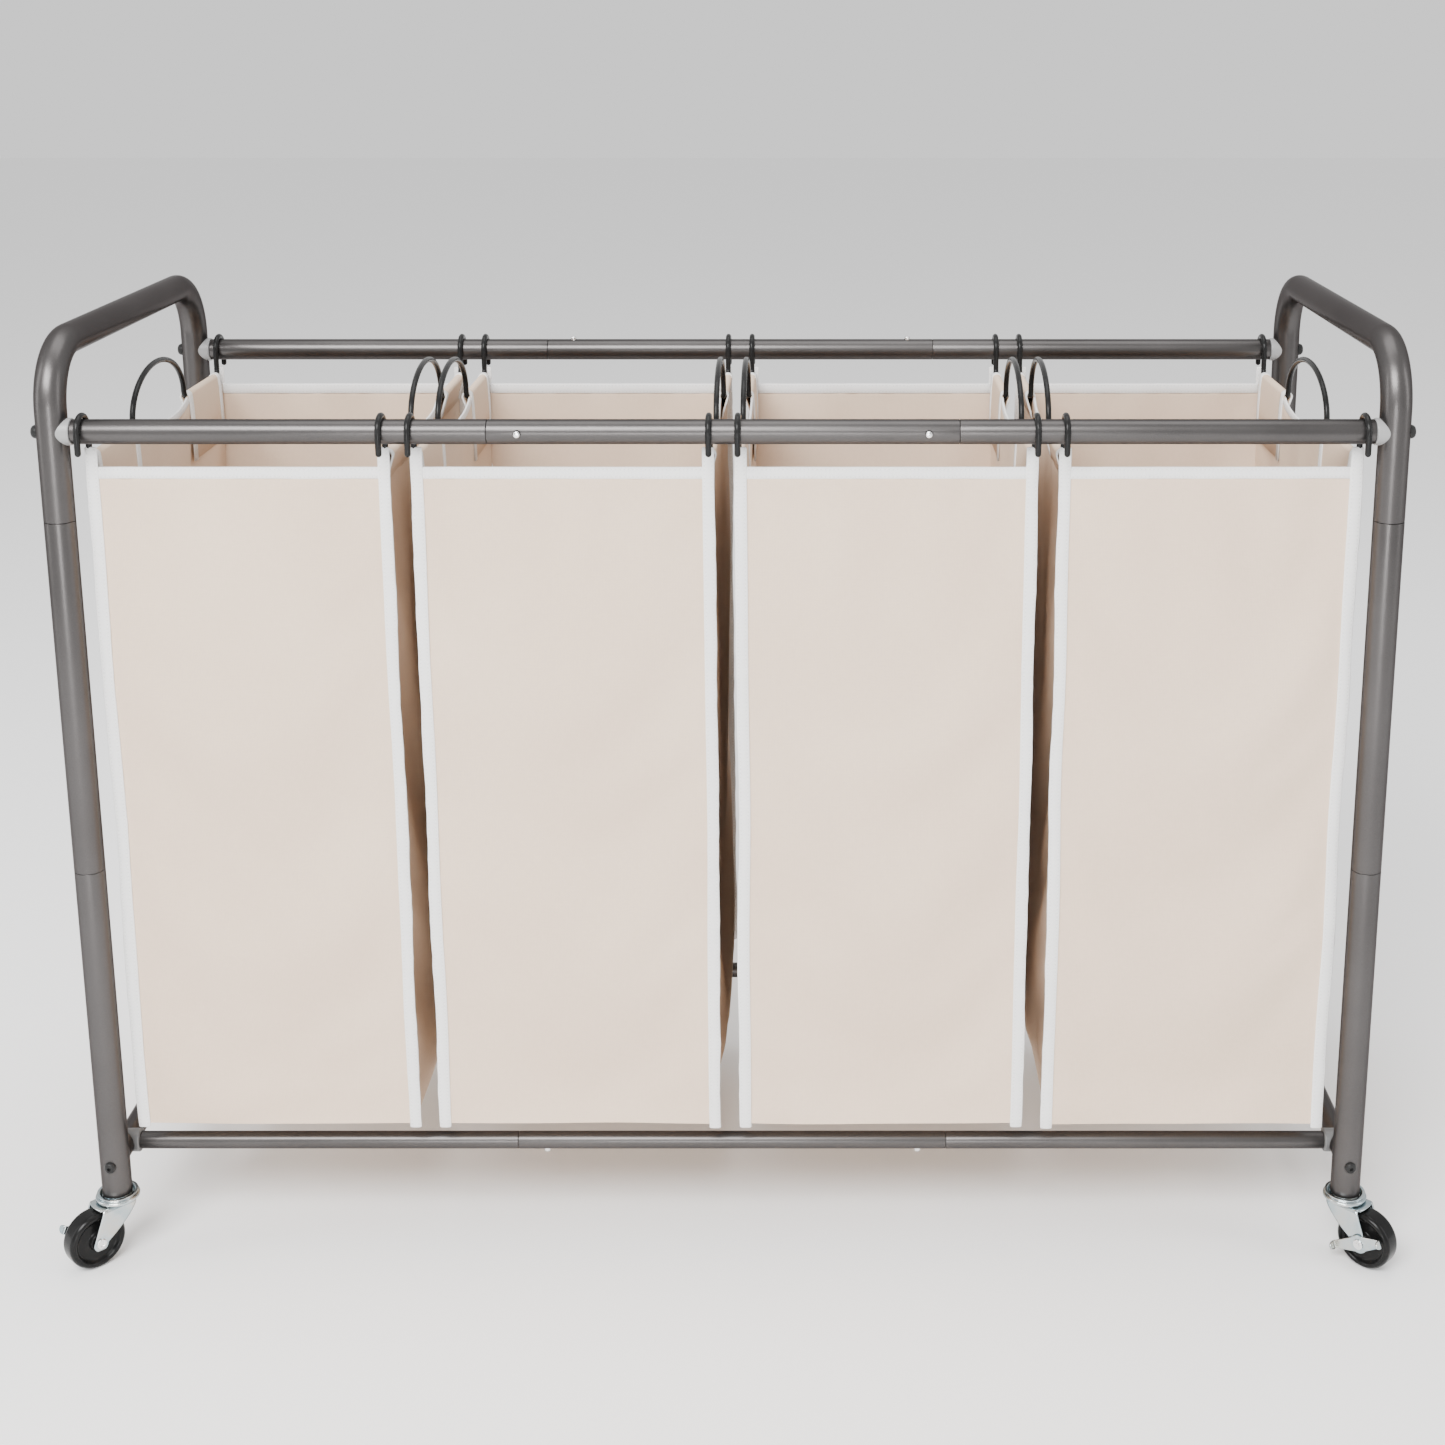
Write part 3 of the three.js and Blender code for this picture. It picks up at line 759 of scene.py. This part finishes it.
# %% Bolts
BOLT_SEAT = 2 * MM
HEAD_CROWN, SOCKET_WIDTH, SOCKET_DEPTH = 0.72, 0.36, 0.5
RAIL_BOLT, CROSSBAR_BOLT, CUP_BOLT = mm([(5.6, 4.4), (5.0, 3.6), (4.2, 3.0)])


def bolt(name, at, outward, radius, height):
    corners = [(0, -BOLT_SEAT, 0), (radius, -BOLT_SEAT, 0),
               (radius, height, HEAD_CROWN * radius), (0, height, 0)]
    head = aim(turned(corners, steps=40, fillet_steps=8), outward, at)
    obj = piece(head, name, bolt_black, "frame")
    top = at + outward * height
    bottom = top - outward * SOCKET_DEPTH * height
    cut_away(obj, rod(SOCKET_WIDTH * radius, bottom, top + outward * MM, 6))


def bolts(corner, sx, sy):
    """The three bolts about one leg, each head sunk a hair into what it holds."""
    sideways, endways = Vector((sx, 0, 0)), Vector((0, sy, 0))
    leg = Vector((sx * LEG_X, sy * LEG_Y, 0))
    skin = LEG_R - 0.4 * MM
    rail, bar = leg + UP * RAIL_Z + sideways * skin, leg + UP * LOWER_Z + endways * skin
    cup = Vector((sx * (LEG_X + CROSSBAR_R - 0.3 * MM), sy * CUP_Y, LOWER_Z))
    bolt(f"rail_bolt_{corner}", rail, sideways, *RAIL_BOLT)
    bolt(f"crossbar_bolt_{corner}", bar, endways, *CROSSBAR_BOLT)
    bolt(f"cup_bolt_{corner}", cup, sideways, *CUP_BOLT)


for place in CORNERS:
    bolts(*place)
print("bolts:", sum("bolt" in name for name in made))

# %% [markdown]
# Each hanger is one coated wire: a hook that opens downwards over the front rail, a
# drop behind the rail, a straight run inside the side panel's hem, an arched handle
# in the middle, and the same again to the rear rail. The pen draws it in one go.

# %% Hangers
BAGS = range(1, 5)
WIRE_R = 2.5 * MM
WIRE_SIDES = 16
HOOK_R = RAIL_R + FIT + WIRE_R
HOOK_DROP = 18 * MM - WIRE_R
HOOK_BEND, HANDLE_BEND = 8 * MM, 6 * MM
HEM_Z = 708 * MM
HEM_RUN = (-150 * MM, -125 * MM, -100 * MM)
HANDLE_HALF = 72.5 * MM


def hanger_path(handle_top):
    """The wire's middle line as (y, z), from the front hook's tip to the rear one's."""
    foot = HEM_Z + HANDLE_BEND
    drop_y = -LEG_Y + HOOK_R
    half = [(-LEG_Y - HOOK_R, RAIL_Z - HOOK_DROP)]
    half += arc((-LEG_Y, RAIL_Z), HOOK_R, 180, 0, 18)
    half += arc((drop_y + HOOK_BEND, HEM_Z + HOOK_BEND), HOOK_BEND, 180, 270, 6)
    half += [(y, HEM_Z) for y in HEM_RUN]
    half += arc((-HANDLE_HALF - HANDLE_BEND, foot), HANDLE_BEND, -90, 0, 6)
    half += arc((0, foot), (HANDLE_HALF, handle_top - foot), 180, 90, 18)[1:]
    return mirrored(half)


def hangers():
    for i, side in ((i, side) for i in BAGS for side, _ in SIDES):
        node = f"hanger_{i}_{side}"
        x = middle_of(node).x
        path = [(x, y, z) for y, z in hanger_path(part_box(node)[1].z - WIRE_R)]
        bm = bmesh.new()
        pen, back = (Pen(bm, path[0], heading, WIRE_R, WIRE_SIDES) for heading in (UP, -UP))
        pen.follow(path[1:])
        pen.direction = -UP
        for end in (pen, back):
            end.dome(WIRE_R)
        piece(bm, f"{node}_wire", wire_black, f"bag_{i}", node)


hangers()
print("hangers bent")

# %% [markdown]
# A bag starts as a flat floor grid whose rim is pulled up row by row, like raising a
# box from one sheet. That gives even square cells, which hang well when the cloth
# simulation lets the weight of the fabric settle it. The corner seams, the top edge
# and the grip edges are separate pieces that follow the settled shell; the hems are
# separate pieces drawn where the shell was before it settled. Extrusion lists its
# faces in a different order each time, and cloth settles a little differently for each
# order, so the shell is put in order first and hangs the same way on every run.

# %% Bag sizes
BAG_X = 115.5 * MM
BAG_Y = size_of("bag_1").y / 2 - MM
BAG_TOP, BAG_BOTTOM = 700 * MM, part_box("bag_1")[0].z
FLANGE_X = size_of("bag_1").x / 2
CELLS_X, CELLS_Y, ROWS = 20, 30, 48
GRIP_HALF, GRIP_DIP, GRIP_DEPTH = 74 * MM, 10 * MM, 50 * MM
CORNER_Y = 174 * MM
print("bag, half sides", BAG_X, BAG_Y, "from", BAG_BOTTOM, "to", BAG_TOP)


def grid(columns, rows, size=1, matrix=Matrix()):
    """A flat sheet of cells, from -size to size each way."""
    bm = bmesh.new()
    bmesh.ops.create_grid(bm, x_segments=columns, y_segments=rows, size=size, matrix=matrix)
    return bm


def set_weave_uv(bm):
    """UV in metres on the panel's own plane, so that yarns keep their real size."""
    layer = bm.loops.layers.uv.new("weave")
    bm.normal_update()
    for face in bm.faces:
        n = face.normal
        u, v = (0, 1) if abs(n.z) > 0.7 else (0, 2) if abs(n.y) > abs(n.x) else (1, 2)
        for loop in face.loops:
            loop[layer].uv = (loop.vert.co[u], loop.vert.co[v])


def grip_rise(y):
    """How far the side panel's edge rises from its dip towards the hems."""
    return GRIP_DIP * min(1.0, abs(y) / GRIP_HALF) ** 4


def in_order(bm):
    """A copy with its corners and faces listed by place, the same way on every run."""
    copy, corners, rings = bmesh.new(), [], []
    for i, v in enumerate(sorted(bm.verts, key=lambda v: tuple(round(c, 6) for c in v.co))):
        v.index = i
        corners.append(copy.verts.new(v.co))
    for face in bm.faces:
        ring = [v.index for v in face.verts]
        first = ring.index(min(ring))
        rings.append(ring[first:] + ring[:first])
    for ring in sorted(rings):
        copy.faces.new([corners[i] for i in ring])
    bm.free()
    return copy


def bag_shell(cx):
    size = Matrix.Diagonal((BAG_X, BAG_Y, 1, 1))
    bm = grid(CELLS_X, CELLS_Y, matrix=Matrix.Translation((cx, 0, BAG_BOTTOM)) @ size)
    rim = [e for e in bm.edges if e.is_boundary]
    rise = (BAG_TOP - BAG_BOTTOM) / ROWS
    for _ in range(ROWS):
        verts, rim = extruded(bm, rim)
        bmesh.ops.translate(bm, verts=verts, vec=(0, 0, rise))
    start = BAG_TOP - GRIP_DEPTH
    for v in bm.verts:
        on_side = abs(abs(v.co.x - cx) - BAG_X) < 1e-6
        if on_side and v.co.z > start and abs(v.co.y) < GRIP_HALF:
            v.co.z += grip_rise(v.co.y) * (v.co.z - start) / GRIP_DEPTH
    bmesh.ops.recalc_face_normals(bm, faces=bm.faces)
    bm = in_order(bm)
    set_weave_uv(bm)
    return bm


# %% [markdown]
# The shell is pinned along its top edge and left to hang for a short while. A little
# spare cloth is given to it, because fabric is never cut exactly flush: that is what
# makes the panels bow and the floor droop. No point may move more than a few
# millimetres, so the bag keeps clear of the frame. Each bag gets its own slight
# unevenness first, or all four would settle alike. It comes from noise, whose seed is
# set here, because it would otherwise start from the clock.

# %% Hang a shell
SETTLE_FRAMES = 22
MOST_MOVE = 7 * MM
noise.seed_set(1)
WAVE, BELLY = 1.6 * MM, 6.5 * MM
CLOTH = {
    "quality": 5, "mass": 0.12, "tension_stiffness": 25, "compression_stiffness": 25,
    "shear_stiffness": 12, "bending_stiffness": 2.0, "air_damping": 4, "shrink_min": -0.004,
    "vertex_group_mass": "pinned",
}


def ease(point, seed, cx):
    """Spare cloth bows the side panels out, and a gentle wave makes all uneven."""
    depth = (BAG_TOP - point.z) / (BAG_TOP - BAG_BOTTOM)
    if depth <= 0:
        return Vector()
    wave = noise.noise_vector(Vector((point.x * 9 + seed, point.y * 9, point.z * 7)))
    push = wave * WAVE * min(1.0, 3 * depth)
    across = (point.x - cx) / BAG_X
    fade = min(1.0, 4 * depth, 5 * (1 - depth))
    bow = math.cos(math.pi / 2 * point.y / BAG_Y) * fade
    push.x += BELLY * across**3 * max(0.0, bow)
    return push


def is_bound(point, cx):
    """The top edge and the bound seams, which are too stiff to move with the cloth."""
    at_x = abs(abs(point.x - cx) - BAG_X) < 1e-5
    at_y = abs(abs(point.y) - BAG_Y) < 1e-5
    at_bottom = point.z < BAG_BOTTOM + 1e-5
    return point.z > BAG_TOP - 2 * MM or (at_x and at_y) or (at_bottom and (at_x or at_y))


def simulate(obj, pinned):
    """Runs the cloth solver and keeps its result, with no modifier left."""
    group = obj.vertex_groups.new(name=CLOTH["vertex_group_mass"])
    group.add(pinned, 1.0, "REPLACE")
    modifier = obj.modifiers.new("cloth", "CLOTH")
    for setting, value in CLOTH.items():
        setattr(modifier.settings, setting, value)
    modifier.collision_settings.use_self_collision = False
    modifier.point_cache.frame_start = 1
    modifier.point_cache.frame_end = SETTLE_FRAMES
    for number in range(1, SETTLE_FRAMES + 1):
        bpy.context.scene.frame_set(number)
    graph = bpy.context.evaluated_depsgraph_get()
    settled = [v.co.copy() for v in obj.evaluated_get(graph).data.vertices]
    obj.modifiers.remove(modifier)
    obj.vertex_groups.clear()
    bpy.context.scene.frame_set(1)
    for v, co in zip(obj.data.vertices, settled):
        v.co = co


def settle(obj, seed, cx):
    """Lets a shell hang, and returns how each of its points moved."""
    mesh = obj.data
    rest = [v.co.copy() for v in mesh.vertices]
    pinned = [i for i, co in enumerate(rest) if is_bound(co, cx)]
    for v in mesh.vertices:
        v.co += ease(v.co, seed, cx)
    simulate(obj, pinned)
    for v, co in zip(mesh.vertices, rest):
        move = v.co - co
        if move.length > MOST_MOVE:
            v.co = co + move * (MOST_MOVE / move.length)
    moves = [v.co - co for v, co in zip(mesh.vertices, rest)]
    print(obj.name, "moved at most", round(max(m.length for m in moves) / MM, 2), "mm")
    return rest, moves


def follower(rest, moves):
    """A function that carries a nearby bmesh along with the settled shell."""
    tree = kdtree.KDTree(len(rest))
    for i, co in enumerate(rest):
        tree.insert(co, i)
    tree.balance()

    def carry(bm):
        for v in bm.verts:
            near = tree.find_n(v.co, 4)
            weights = [1 / (distance + MM) for _, _, distance in near]
            total = sum(weights)
            v.co += sum((moves[i] * w for (_, i, _), w in zip(near, weights)), Vector()) / total
        return bm

    return carry


# %% [markdown]
# Binding tape is a flat ring pulled along its seam. The tape on a corner seam stands
# out sideways past the side panel, runs a little below the floor, and ends round. At
# the top it climbs past the front edge, beside the wire.

# %% Tapes along the seams
TAPE_W, TAPE_T = 10 * MM, 2.4 * MM
TOP_TAPE_T = 3 * MM
GRIP_TAPE_W, GRIP_TAPE_T = 8 * MM, 2.2 * MM
GRIP_CELLS = 24
CORNER_TOP = 716 * MM


def tape(path, across, width=TAPE_W, thick=TAPE_T):
    bm = bmesh.new()
    heading = Vector(path[1]) - Vector(path[0])
    ring = dict(radius=thick / 2, sides=16, across=across, half_width=(width - thick) / 2)
    pen, back = (Pen(bm, path[0], way, **ring) for way in (heading, -heading))
    pen.follow(path[1:])
    for end in (pen, back):
        end.dome(thick / 2, 3)
    return bm


def evenly(start, end, step=8 * MM):
    start, end = Vector(start), Vector(end)
    count = max(2, round((end - start).length / step))
    return [start.lerp(end, k / count) for k in range(count + 1)]


def bag_tapes(i, cx, carry):
    def sew(name, path, across, **size):
        bm = carry(tape(path, across, **size))
        piece(bm, f"bag_{i}_{name}", binding, f"bag_{i}")

    corner_y, middle_x = BAG_Y + MM, FLANGE_X - TAPE_W / 2
    inner, top_z = middle_x - TAPE_W / 2 + MM, BAG_TOP - TAPE_W / 2 + 0.5 * MM
    for end, sy in ENDS:
        for side, sx in SIDES:
            x, y = cx + sx * middle_x, sy * corner_y
            path = evenly((x, y, BAG_BOTTOM - 3 * MM), (x, y, CORNER_TOP))
            sew(f"corner_tape_{end}_{side}", path, (1, 0, 0))
        y = sy * BAG_Y
        path = evenly((cx - inner, y, top_z), (cx + inner, y, top_z))
        sew(f"top_tape_{end}", path, UP, thick=TOP_TAPE_T)
    for side, sx in SIDES:
        x, reach = cx + sx * BAG_X, GRIP_HALF - 2 * MM
        ys = [-reach + 2 * reach * k / GRIP_CELLS for k in range(GRIP_CELLS + 1)]
        path = [(x, y, BAG_TOP - 3.4 * MM + grip_rise(y)) for y in ys]
        sew(f"grip_tape_{side}", path, UP, width=GRIP_TAPE_W, thick=GRIP_TAPE_T)


# %% [markdown]
# Either side of the handle, the side panel's fabric is folded inwards over the wire
# and left as a flap inside the bag. The fold is a strip pulled along its own
# profile: up the outside, round the wire and down the inside. Both of its free
# edges are bound, so the same profile with a little more room draws their tapes.

# %% Hems over the wire
CLOTH_T, HEM_TAPE_T = 0.9 * MM, 1.5 * MM
WIRE_X = 118.5 * MM
FLAP_BOTTOM, HEM_BOTTOM = 648 * MM, 686 * MM
# Each hem tape's middle along Y, and its width.
HEM_TAPES = {
    "handle": (GRIP_HALF + 4.5 * MM, 9 * MM),
    "corner": (CORNER_Y - 3.5 * MM, 7 * MM),
}


def hem_profile(sx, cx, room, low_in, low_out):
    """Points (x, z) up the outside, over the wire and down the inside."""
    outer = [(BAG_X + 0.9 * MM + room, low_out), (BAG_X + 2.2 * MM + room, 694 * MM)]
    over = arc((WIRE_X, HEM_Z), WIRE_R + CLOTH_T + room, -20, 180, 12)
    inner_x = BAG_X - 1.2 * MM - room
    inner = [(inner_x, 699 * MM), (inner_x - 0.6 * MM, 680 * MM), (inner_x - 0.9 * MM, low_in)]
    return [(cx + sx * x, z) for x, z in outer + over + inner]


def strip(profile, y0, y1, cells):
    """A row of edges along Y pulled through the profile's points."""
    bm = bmesh.new()
    run, across = tape_layers(bm)
    x, z = profile[0]
    verts = [bm.verts.new((x, y0 + (y1 - y0) * k / cells, z)) for k in range(cells + 1)]
    for v in verts:
        v[across] = v.co.y - (y0 + y1) / 2
    edges = [bm.edges.new(pair) for pair in zip(verts, verts[1:])]
    gone = 0.0
    for (x0, z0), (x1, z1) in zip(profile, profile[1:]):
        verts, edges = extruded(bm, edges)
        bmesh.ops.translate(bm, verts=verts, vec=(x1 - x0, 0, z1 - z0))
        gone += math.hypot(x1 - x0, z1 - z0)
        for v in verts:
            v[run] = gone
    return bm


def thicken(obj, thickness):
    modifier = obj.modifiers.new("thickness", "SOLIDIFY")
    modifier.thickness = thickness
    modifier.offset = 0.0
    modifier.use_even_offset = True


def set_strip_uv(bm):
    layer = bm.loops.layers.uv.new("weave")
    run, across = tape_layers(bm)
    for face in bm.faces:
        for loop in face.loops:
            loop[layer].uv = (loop.vert[across], loop.vert[run])


def bag_hems(i, cx):
    body, slot = f"bag_{i}", "bag_fabric"
    for side, sx in SIDES:
        profile = hem_profile(sx, cx, 0, FLAP_BOTTOM, HEM_BOTTOM)
        roomy = hem_profile(sx, cx, 0.5 * MM, FLAP_BOTTOM - MM, HEM_BOTTOM + 2 * MM)
        for end, sy in ENDS:
            y0, y1 = sorted((sy * (GRIP_HALF + MM), sy * CORNER_Y))
            bm = strip(profile, y0, y1, 12)
            set_strip_uv(bm)
            thicken(piece(bm, f"bag_{i}_hem_{end}_{side}", fabric, body), CLOTH_T)
            for edge, (y, width) in HEM_TAPES.items():
                bm = strip(roomy, sy * y - width / 2, sy * y + width / 2, 4)
                name = f"bag_{i}_hem_tape_{edge}_{end}_{side}"
                thicken(piece(bm, name, binding, body), HEM_TAPE_T)


def bags():
    for i in BAGS:
        node = f"bag_{i}"
        cx = middle_of(node).x
        bm = bag_shell(cx)
        shell = piece(bm, f"{node}_shell", fabric, node, node, recalc=False)
        rest, moves = settle(shell, 13.7 * i, cx)
        thicken(shell, CLOTH_T)
        bag_tapes(i, cx, follower(rest, moves))
        bag_hems(i, cx)


bags()
print("bags sewn:", sum(name.startswith("bag") for name in made), "pieces")

# %% [markdown]
# A caster hangs from a plated collar. Its stem is a press fit in the leg; the collar
# is a shallow rolled cup that the leg stands in, with the swivel bearing under it.
# All of a caster's pieces are made in its own frame, with the swivel axis at the
# origin and the wheel behind it along +X, and then turned into place.

# %% Collar and wheel
TRAIL = 24 * MM
WHEEL_R = 25 * MM
WHEEL_SIDES = 96
AXLE = (TRAIL, 0, WHEEL_R)
# Half outlines as (radius, height, fillet) in millimetres.
KINGPIN = [(0, 48.6, 0), (6.5, 48.6, 1.0), (6.5, 50.9, 0.4), (4.0, 50.9, 0), (4.0, 53.5, 0)]
ROLLED_CUP = [(15.4, 53.5, 0.8), (18.5, 54.4, 1.5), (18.5, 57.2, 1.3), (16.4, 57.8, 0.4),
              (17.5, 59.9, 1.1), (14.4, 60.0, 0.9), (13.4, 57.0, 0.8)]
STEM = [(10.9, 56.6, 0.2), (10.9, 84.0, 1.2), (0, 84.0, 0)]
HUB = [(3.15, 9.9, 0.2), (7.2, 9.9, 0.7), (8.6, 6.2, 1.0)]
TREAD = [(17.6, 5.4, 1.6), (20.0, 8.9, 0.9), (22.6, 9.4, 1.6), (25.0, 6.6, 1.8)]


def caster_place(sx, sy):
    turn = Matrix.Rotation(math.atan2(sy, sx), 4, "Z")
    return Matrix.Translation((sx * LEG_X, sy * LEG_Y, 0)) @ turn


def collar():
    """Rolled cup, stem plug and the riveted kingpin under it."""
    return turned(mm(KINGPIN + ROLLED_CUP + STEM), steps=72, fillet_steps=6)


def wheel():
    """Hard plastic wheel: rounded tread, raised rim, dished web and a hub boss."""
    upper = mm(HUB + TREAD)
    ring = [(r, -h, fillet) for r, h, fillet in upper] + upper[::-1]
    outline = rounded([ring[-1], *ring, ring[0]], 6)[1:-1]
    return aim(spun(outline, WHEEL_SIDES, closed=True), (0, 1, 0), AXLE)


# %% [markdown]
# The fork is one pressed strip: flat on top, bent down on both sides, and tapered to
# a round ear at the axle. A flat grid is laid out unfolded, its edges drawn to the
# blank's outline, and then folded over; Solidify gives the sheet its thickness.

# %% Fork and axle
FORK_TOP, FORK_HALF, FORK_SHEET = 53.2 * MM, 13 * MM, 2 * MM
FORK_FOLD = 2.2 * MM
FORK_CELLS = (14, 96)
HEEL_X, HEEL_BOW = -10.5 * MM, 4.5 * MM
TOE_X, TOE_BOW = 19.5 * MM, 3 * MM
EAR_R = 6.4 * MM
PIN_R, RIVET_R, RIVET_T, RIVET_DIMPLE = 3 * MM, 4.5 * MM, 1.8 * MM, 0.6 * MM
LEVER_ROOM = 2.1 * MM


def folded(s, flat, bend):
    """Where a point of a blank lands, s along it: how far out, and how far down."""
    corner = bend * math.pi / 2
    if s <= flat:
        return s, 0.0
    if s <= flat + corner:
        angle = (s - flat) / bend
        return flat + bend * math.sin(angle), bend * (1 - math.cos(angle))
    return flat + bend, bend + (s - flat - corner)


def fork_edges(drop, y):
    """Where the blank starts and ends along X, at a depth below the top."""
    if drop <= 0:
        bow = 1 - (y / FORK_HALF) ** 2
        return HEEL_X - HEEL_BOW * bow, TOE_X + TOE_BOW * bow
    past = drop - (FORK_TOP - WHEEL_R)
    if past > 0:
        half = math.sqrt(max(0.0, EAR_R**2 - past**2))
        return TRAIL - half, TRAIL + half
    depth = drop / (FORK_TOP - WHEEL_R)
    heel = HEEL_X + (TRAIL - EAR_R - HEEL_X) * (0.35 * depth + 0.65 * depth**1.8)
    return heel, TOE_X + (TRAIL + EAR_R - TOE_X) * depth


def fork():
    middle_z = FORK_TOP - FORK_SHEET / 2
    flat = FORK_HALF - FORK_SHEET / 2 - FORK_FOLD
    reach = flat + FORK_FOLD * math.pi / 2 + middle_z - WHEEL_R + EAR_R - FORK_FOLD
    bm = grid(*FORK_CELLS)
    for v in bm.verts:
        side, t = math.copysign(1, v.co.y), (v.co.x + 1) / 2
        y, drop = folded(abs(v.co.y * reach), flat, FORK_FOLD)
        start, end = fork_edges(drop, y)
        v.co = (start + (end - start) * t, side * y, middle_z - drop)
    return bm


def axle(braked):
    """Riveted pin through both ears, longer on the side that carries a brake lever."""
    ends = FORK_HALF + RIVET_T
    low, high = -ends - (LEVER_ROOM if braked else 0), ends
    bm = turned([
        (0, low, 0), (2.0 * MM, low, 0), (2.2 * MM, low + RIVET_DIMPLE, 0),
        (RIVET_R, low + RIVET_DIMPLE, 0.9 * MM), (RIVET_R, low + RIVET_T, 0),
        (PIN_R, low + RIVET_T, 0), (PIN_R, FORK_HALF, 0),
        (RIVET_R, FORK_HALF, 0), (RIVET_R, high, 1.2 * MM), (2.4 * MM, high, 0.2 * MM),
        (2.0 * MM, high - RIVET_DIMPLE, 0), (0, high - RIVET_DIMPLE, 0),
    ], steps=40)
    return aim(bm, (0, 1, 0), AXLE)


# %% [markdown]
# The brake lever is a small pressed rocker outside the fork. Its ends are turned out
# so that a toe can tip it either way. It is folded from a flat blank like the fork.

# %% Brake lever
LEVER_SHEET, LEVER_FOLD, LEVER_TAB = 1.5 * MM, 1.6 * MM, 5 * MM
LEVER_BACK, LEVER_AHEAD = 23.5 * MM, 20.5 * MM
LEVER_TIP, LEVER_SWELL, LEVER_DISC_R = 3.4 * MM, 3.6 * MM, 8 * MM
LEVER_TILT = math.radians(25)
LEVER_CELLS = (72, 12)


def lever_half(s, arm, turned_out):
    """Half of the blank's width, s from its middle on an arm of that length."""
    if s > arm:
        return LEVER_TIP * math.sqrt(max(0.12, 1 - ((s - arm) / turned_out) ** 4))
    disc = math.sqrt(max(0.0, LEVER_DISC_R**2 - s**2))
    return max(LEVER_TIP + LEVER_SWELL * (1 - s / arm), disc)


def brake_lever():
    turned_out = LEVER_FOLD * math.pi / 2 + LEVER_TAB
    bm = grid(*LEVER_CELLS)
    for v in bm.verts:
        side, arm = math.copysign(1, v.co.x), LEVER_BACK if v.co.x < 0 else LEVER_AHEAD
        s = abs(v.co.x) * (arm + turned_out)
        x, out = folded(s, arm, LEVER_FOLD)
        half = lever_half(s, arm, turned_out)
        v.co = (side * x, -FORK_HALF - FIT - LEVER_SHEET / 2 - out, v.co.y * half)
    bm.transform(Matrix.Translation(AXLE) @ Matrix.Rotation(-LEVER_TILT, 4, "Y"))
    return bm


# %% [markdown]
# The collar stays with the leg, the fork and its axle turn about the leg, the wheel
# turns on the axle and the lever tips on it, so each rides on a body of its own. Only
# the front casters have a lever.

# %% Casters
def caster(corner, sx, sy):
    swivel, spin = f"caster_{corner}", f"wheel_{corner}"
    place, braked = caster_place(sx, sy), corner.startswith("front")

    def add(bm, kind, ending, material, body, sheet=0.0, stands_in=True):
        bm.transform(place)
        node = f"{kind}_{corner}"
        obj = piece(bm, node + ending, material, body, node if stands_in else None)
        if sheet:
            thicken(obj, sheet)

    add(collar(), "caster_collar", "_cup", zinc, "frame")
    add(fork(), "caster_fork", "_sheet", zinc, swivel, FORK_SHEET)
    add(wheel(), "caster_wheel", "_tread", wheel_black, spin)
    add(axle(braked), "caster_axle", "", steel, swivel, stands_in=False)
    if braked:
        add(brake_lever(), "brake_lever", "_rocker", zinc, f"brake_{corner}", LEVER_SHEET)


for place in CORNERS:
    caster(*place)
print("casters made")

# %% [markdown]
# The stage is a pale floor under soft light: a bright surround, one broad panel in
# front and above, and weaker ones at both sides, overhead and low in front. The low
# one shows as a soft highlight down the middle of each upright tube.

# %% Floor and light
FLOOR_HALF = 12
SURROUND = 1.04
# Each panel light: where it is, what it faces, its width and height, and its power.
MIDDLE, LOW_FRONT = (0, 0, 0.45), (-0.1, 0, 0.35)
PANELS = {
    "key": ((-0.9, -2.6, 2.9), MIDDLE, (2.2, 1.6), 235),
    "left": ((-2.8, -0.6, 1.3), MIDDLE, (0.6, 2.2), 20),
    "right": ((2.8, -0.9, 1.4), MIDDLE, (0.6, 2.2), 20),
    "top": ((0, 0.3, 3.2), MIDDLE, (2.4, 1.6), 40),
    "front": ((-0.25, -3.4, 0.45), LOW_FRONT, (0.9, 0.7), 32),
}


def stage_floor():
    floor = to_object(grid(1, 1, size=FLOOR_HALF), "floor")
    pale = Finish("pale floor", base_color=grey(0.93), roughness=0.75, specular_ior_level=0.2)
    floor.data.materials.append(pale.material)


def panel_light(name, at, target, size, power):
    light = bpy.data.lights.new(name, "AREA")
    light.shape = "RECTANGLE"
    light.size, light.size_y = size
    light.energy = power
    obj = bpy.data.objects.new(name, light)
    obj.location = at
    obj.rotation_euler = (Vector(target) - Vector(at)).to_track_quat("-Z", "Y").to_euler()
    bpy.context.scene.collection.objects.link(obj)


def surround():
    world = bpy.data.worlds.new("surround")
    world.use_nodes = True
    background = world.node_tree.nodes["Background"]
    background.inputs["Color"].default_value = (1, 1, 1, 1)
    background.inputs["Strength"].default_value = SURROUND
    bpy.context.scene.world = world


stage_floor()
for panel, settings in PANELS.items():
    panel_light(panel, *settings)
surround()
print("stage lit")

# %% [markdown]
# The view is from straight in front and well above, about the eye height of someone
# standing before it. A little lens shift keeps the uprights nearly parallel, as a view
# camera does, and places the sorter in the frame.

# %% Camera
ELEVATION, PITCH = math.radians(20.5), math.radians(13.1)
DISTANCE = 1.9
AIM_POINT = Vector((0.072, 0, 0.405))
LENS, SHIFT_X, SHIFT_Y = 51.0, -0.0635, -0.175


def camera():
    data = bpy.data.cameras.new("camera")
    cam = bpy.data.objects.new("camera", data)
    away = Vector((0, -math.cos(ELEVATION), math.sin(ELEVATION)))
    cam.location = AIM_POINT + away * DISTANCE
    cam.rotation_euler = (math.pi / 2 - PITCH, 0, 0)
    data.sensor_width = 36
    data.lens, data.shift_x, data.shift_y = LENS, SHIFT_X, SHIFT_Y
    bpy.context.scene.collection.objects.link(cam)
    bpy.context.scene.camera = cam


camera()
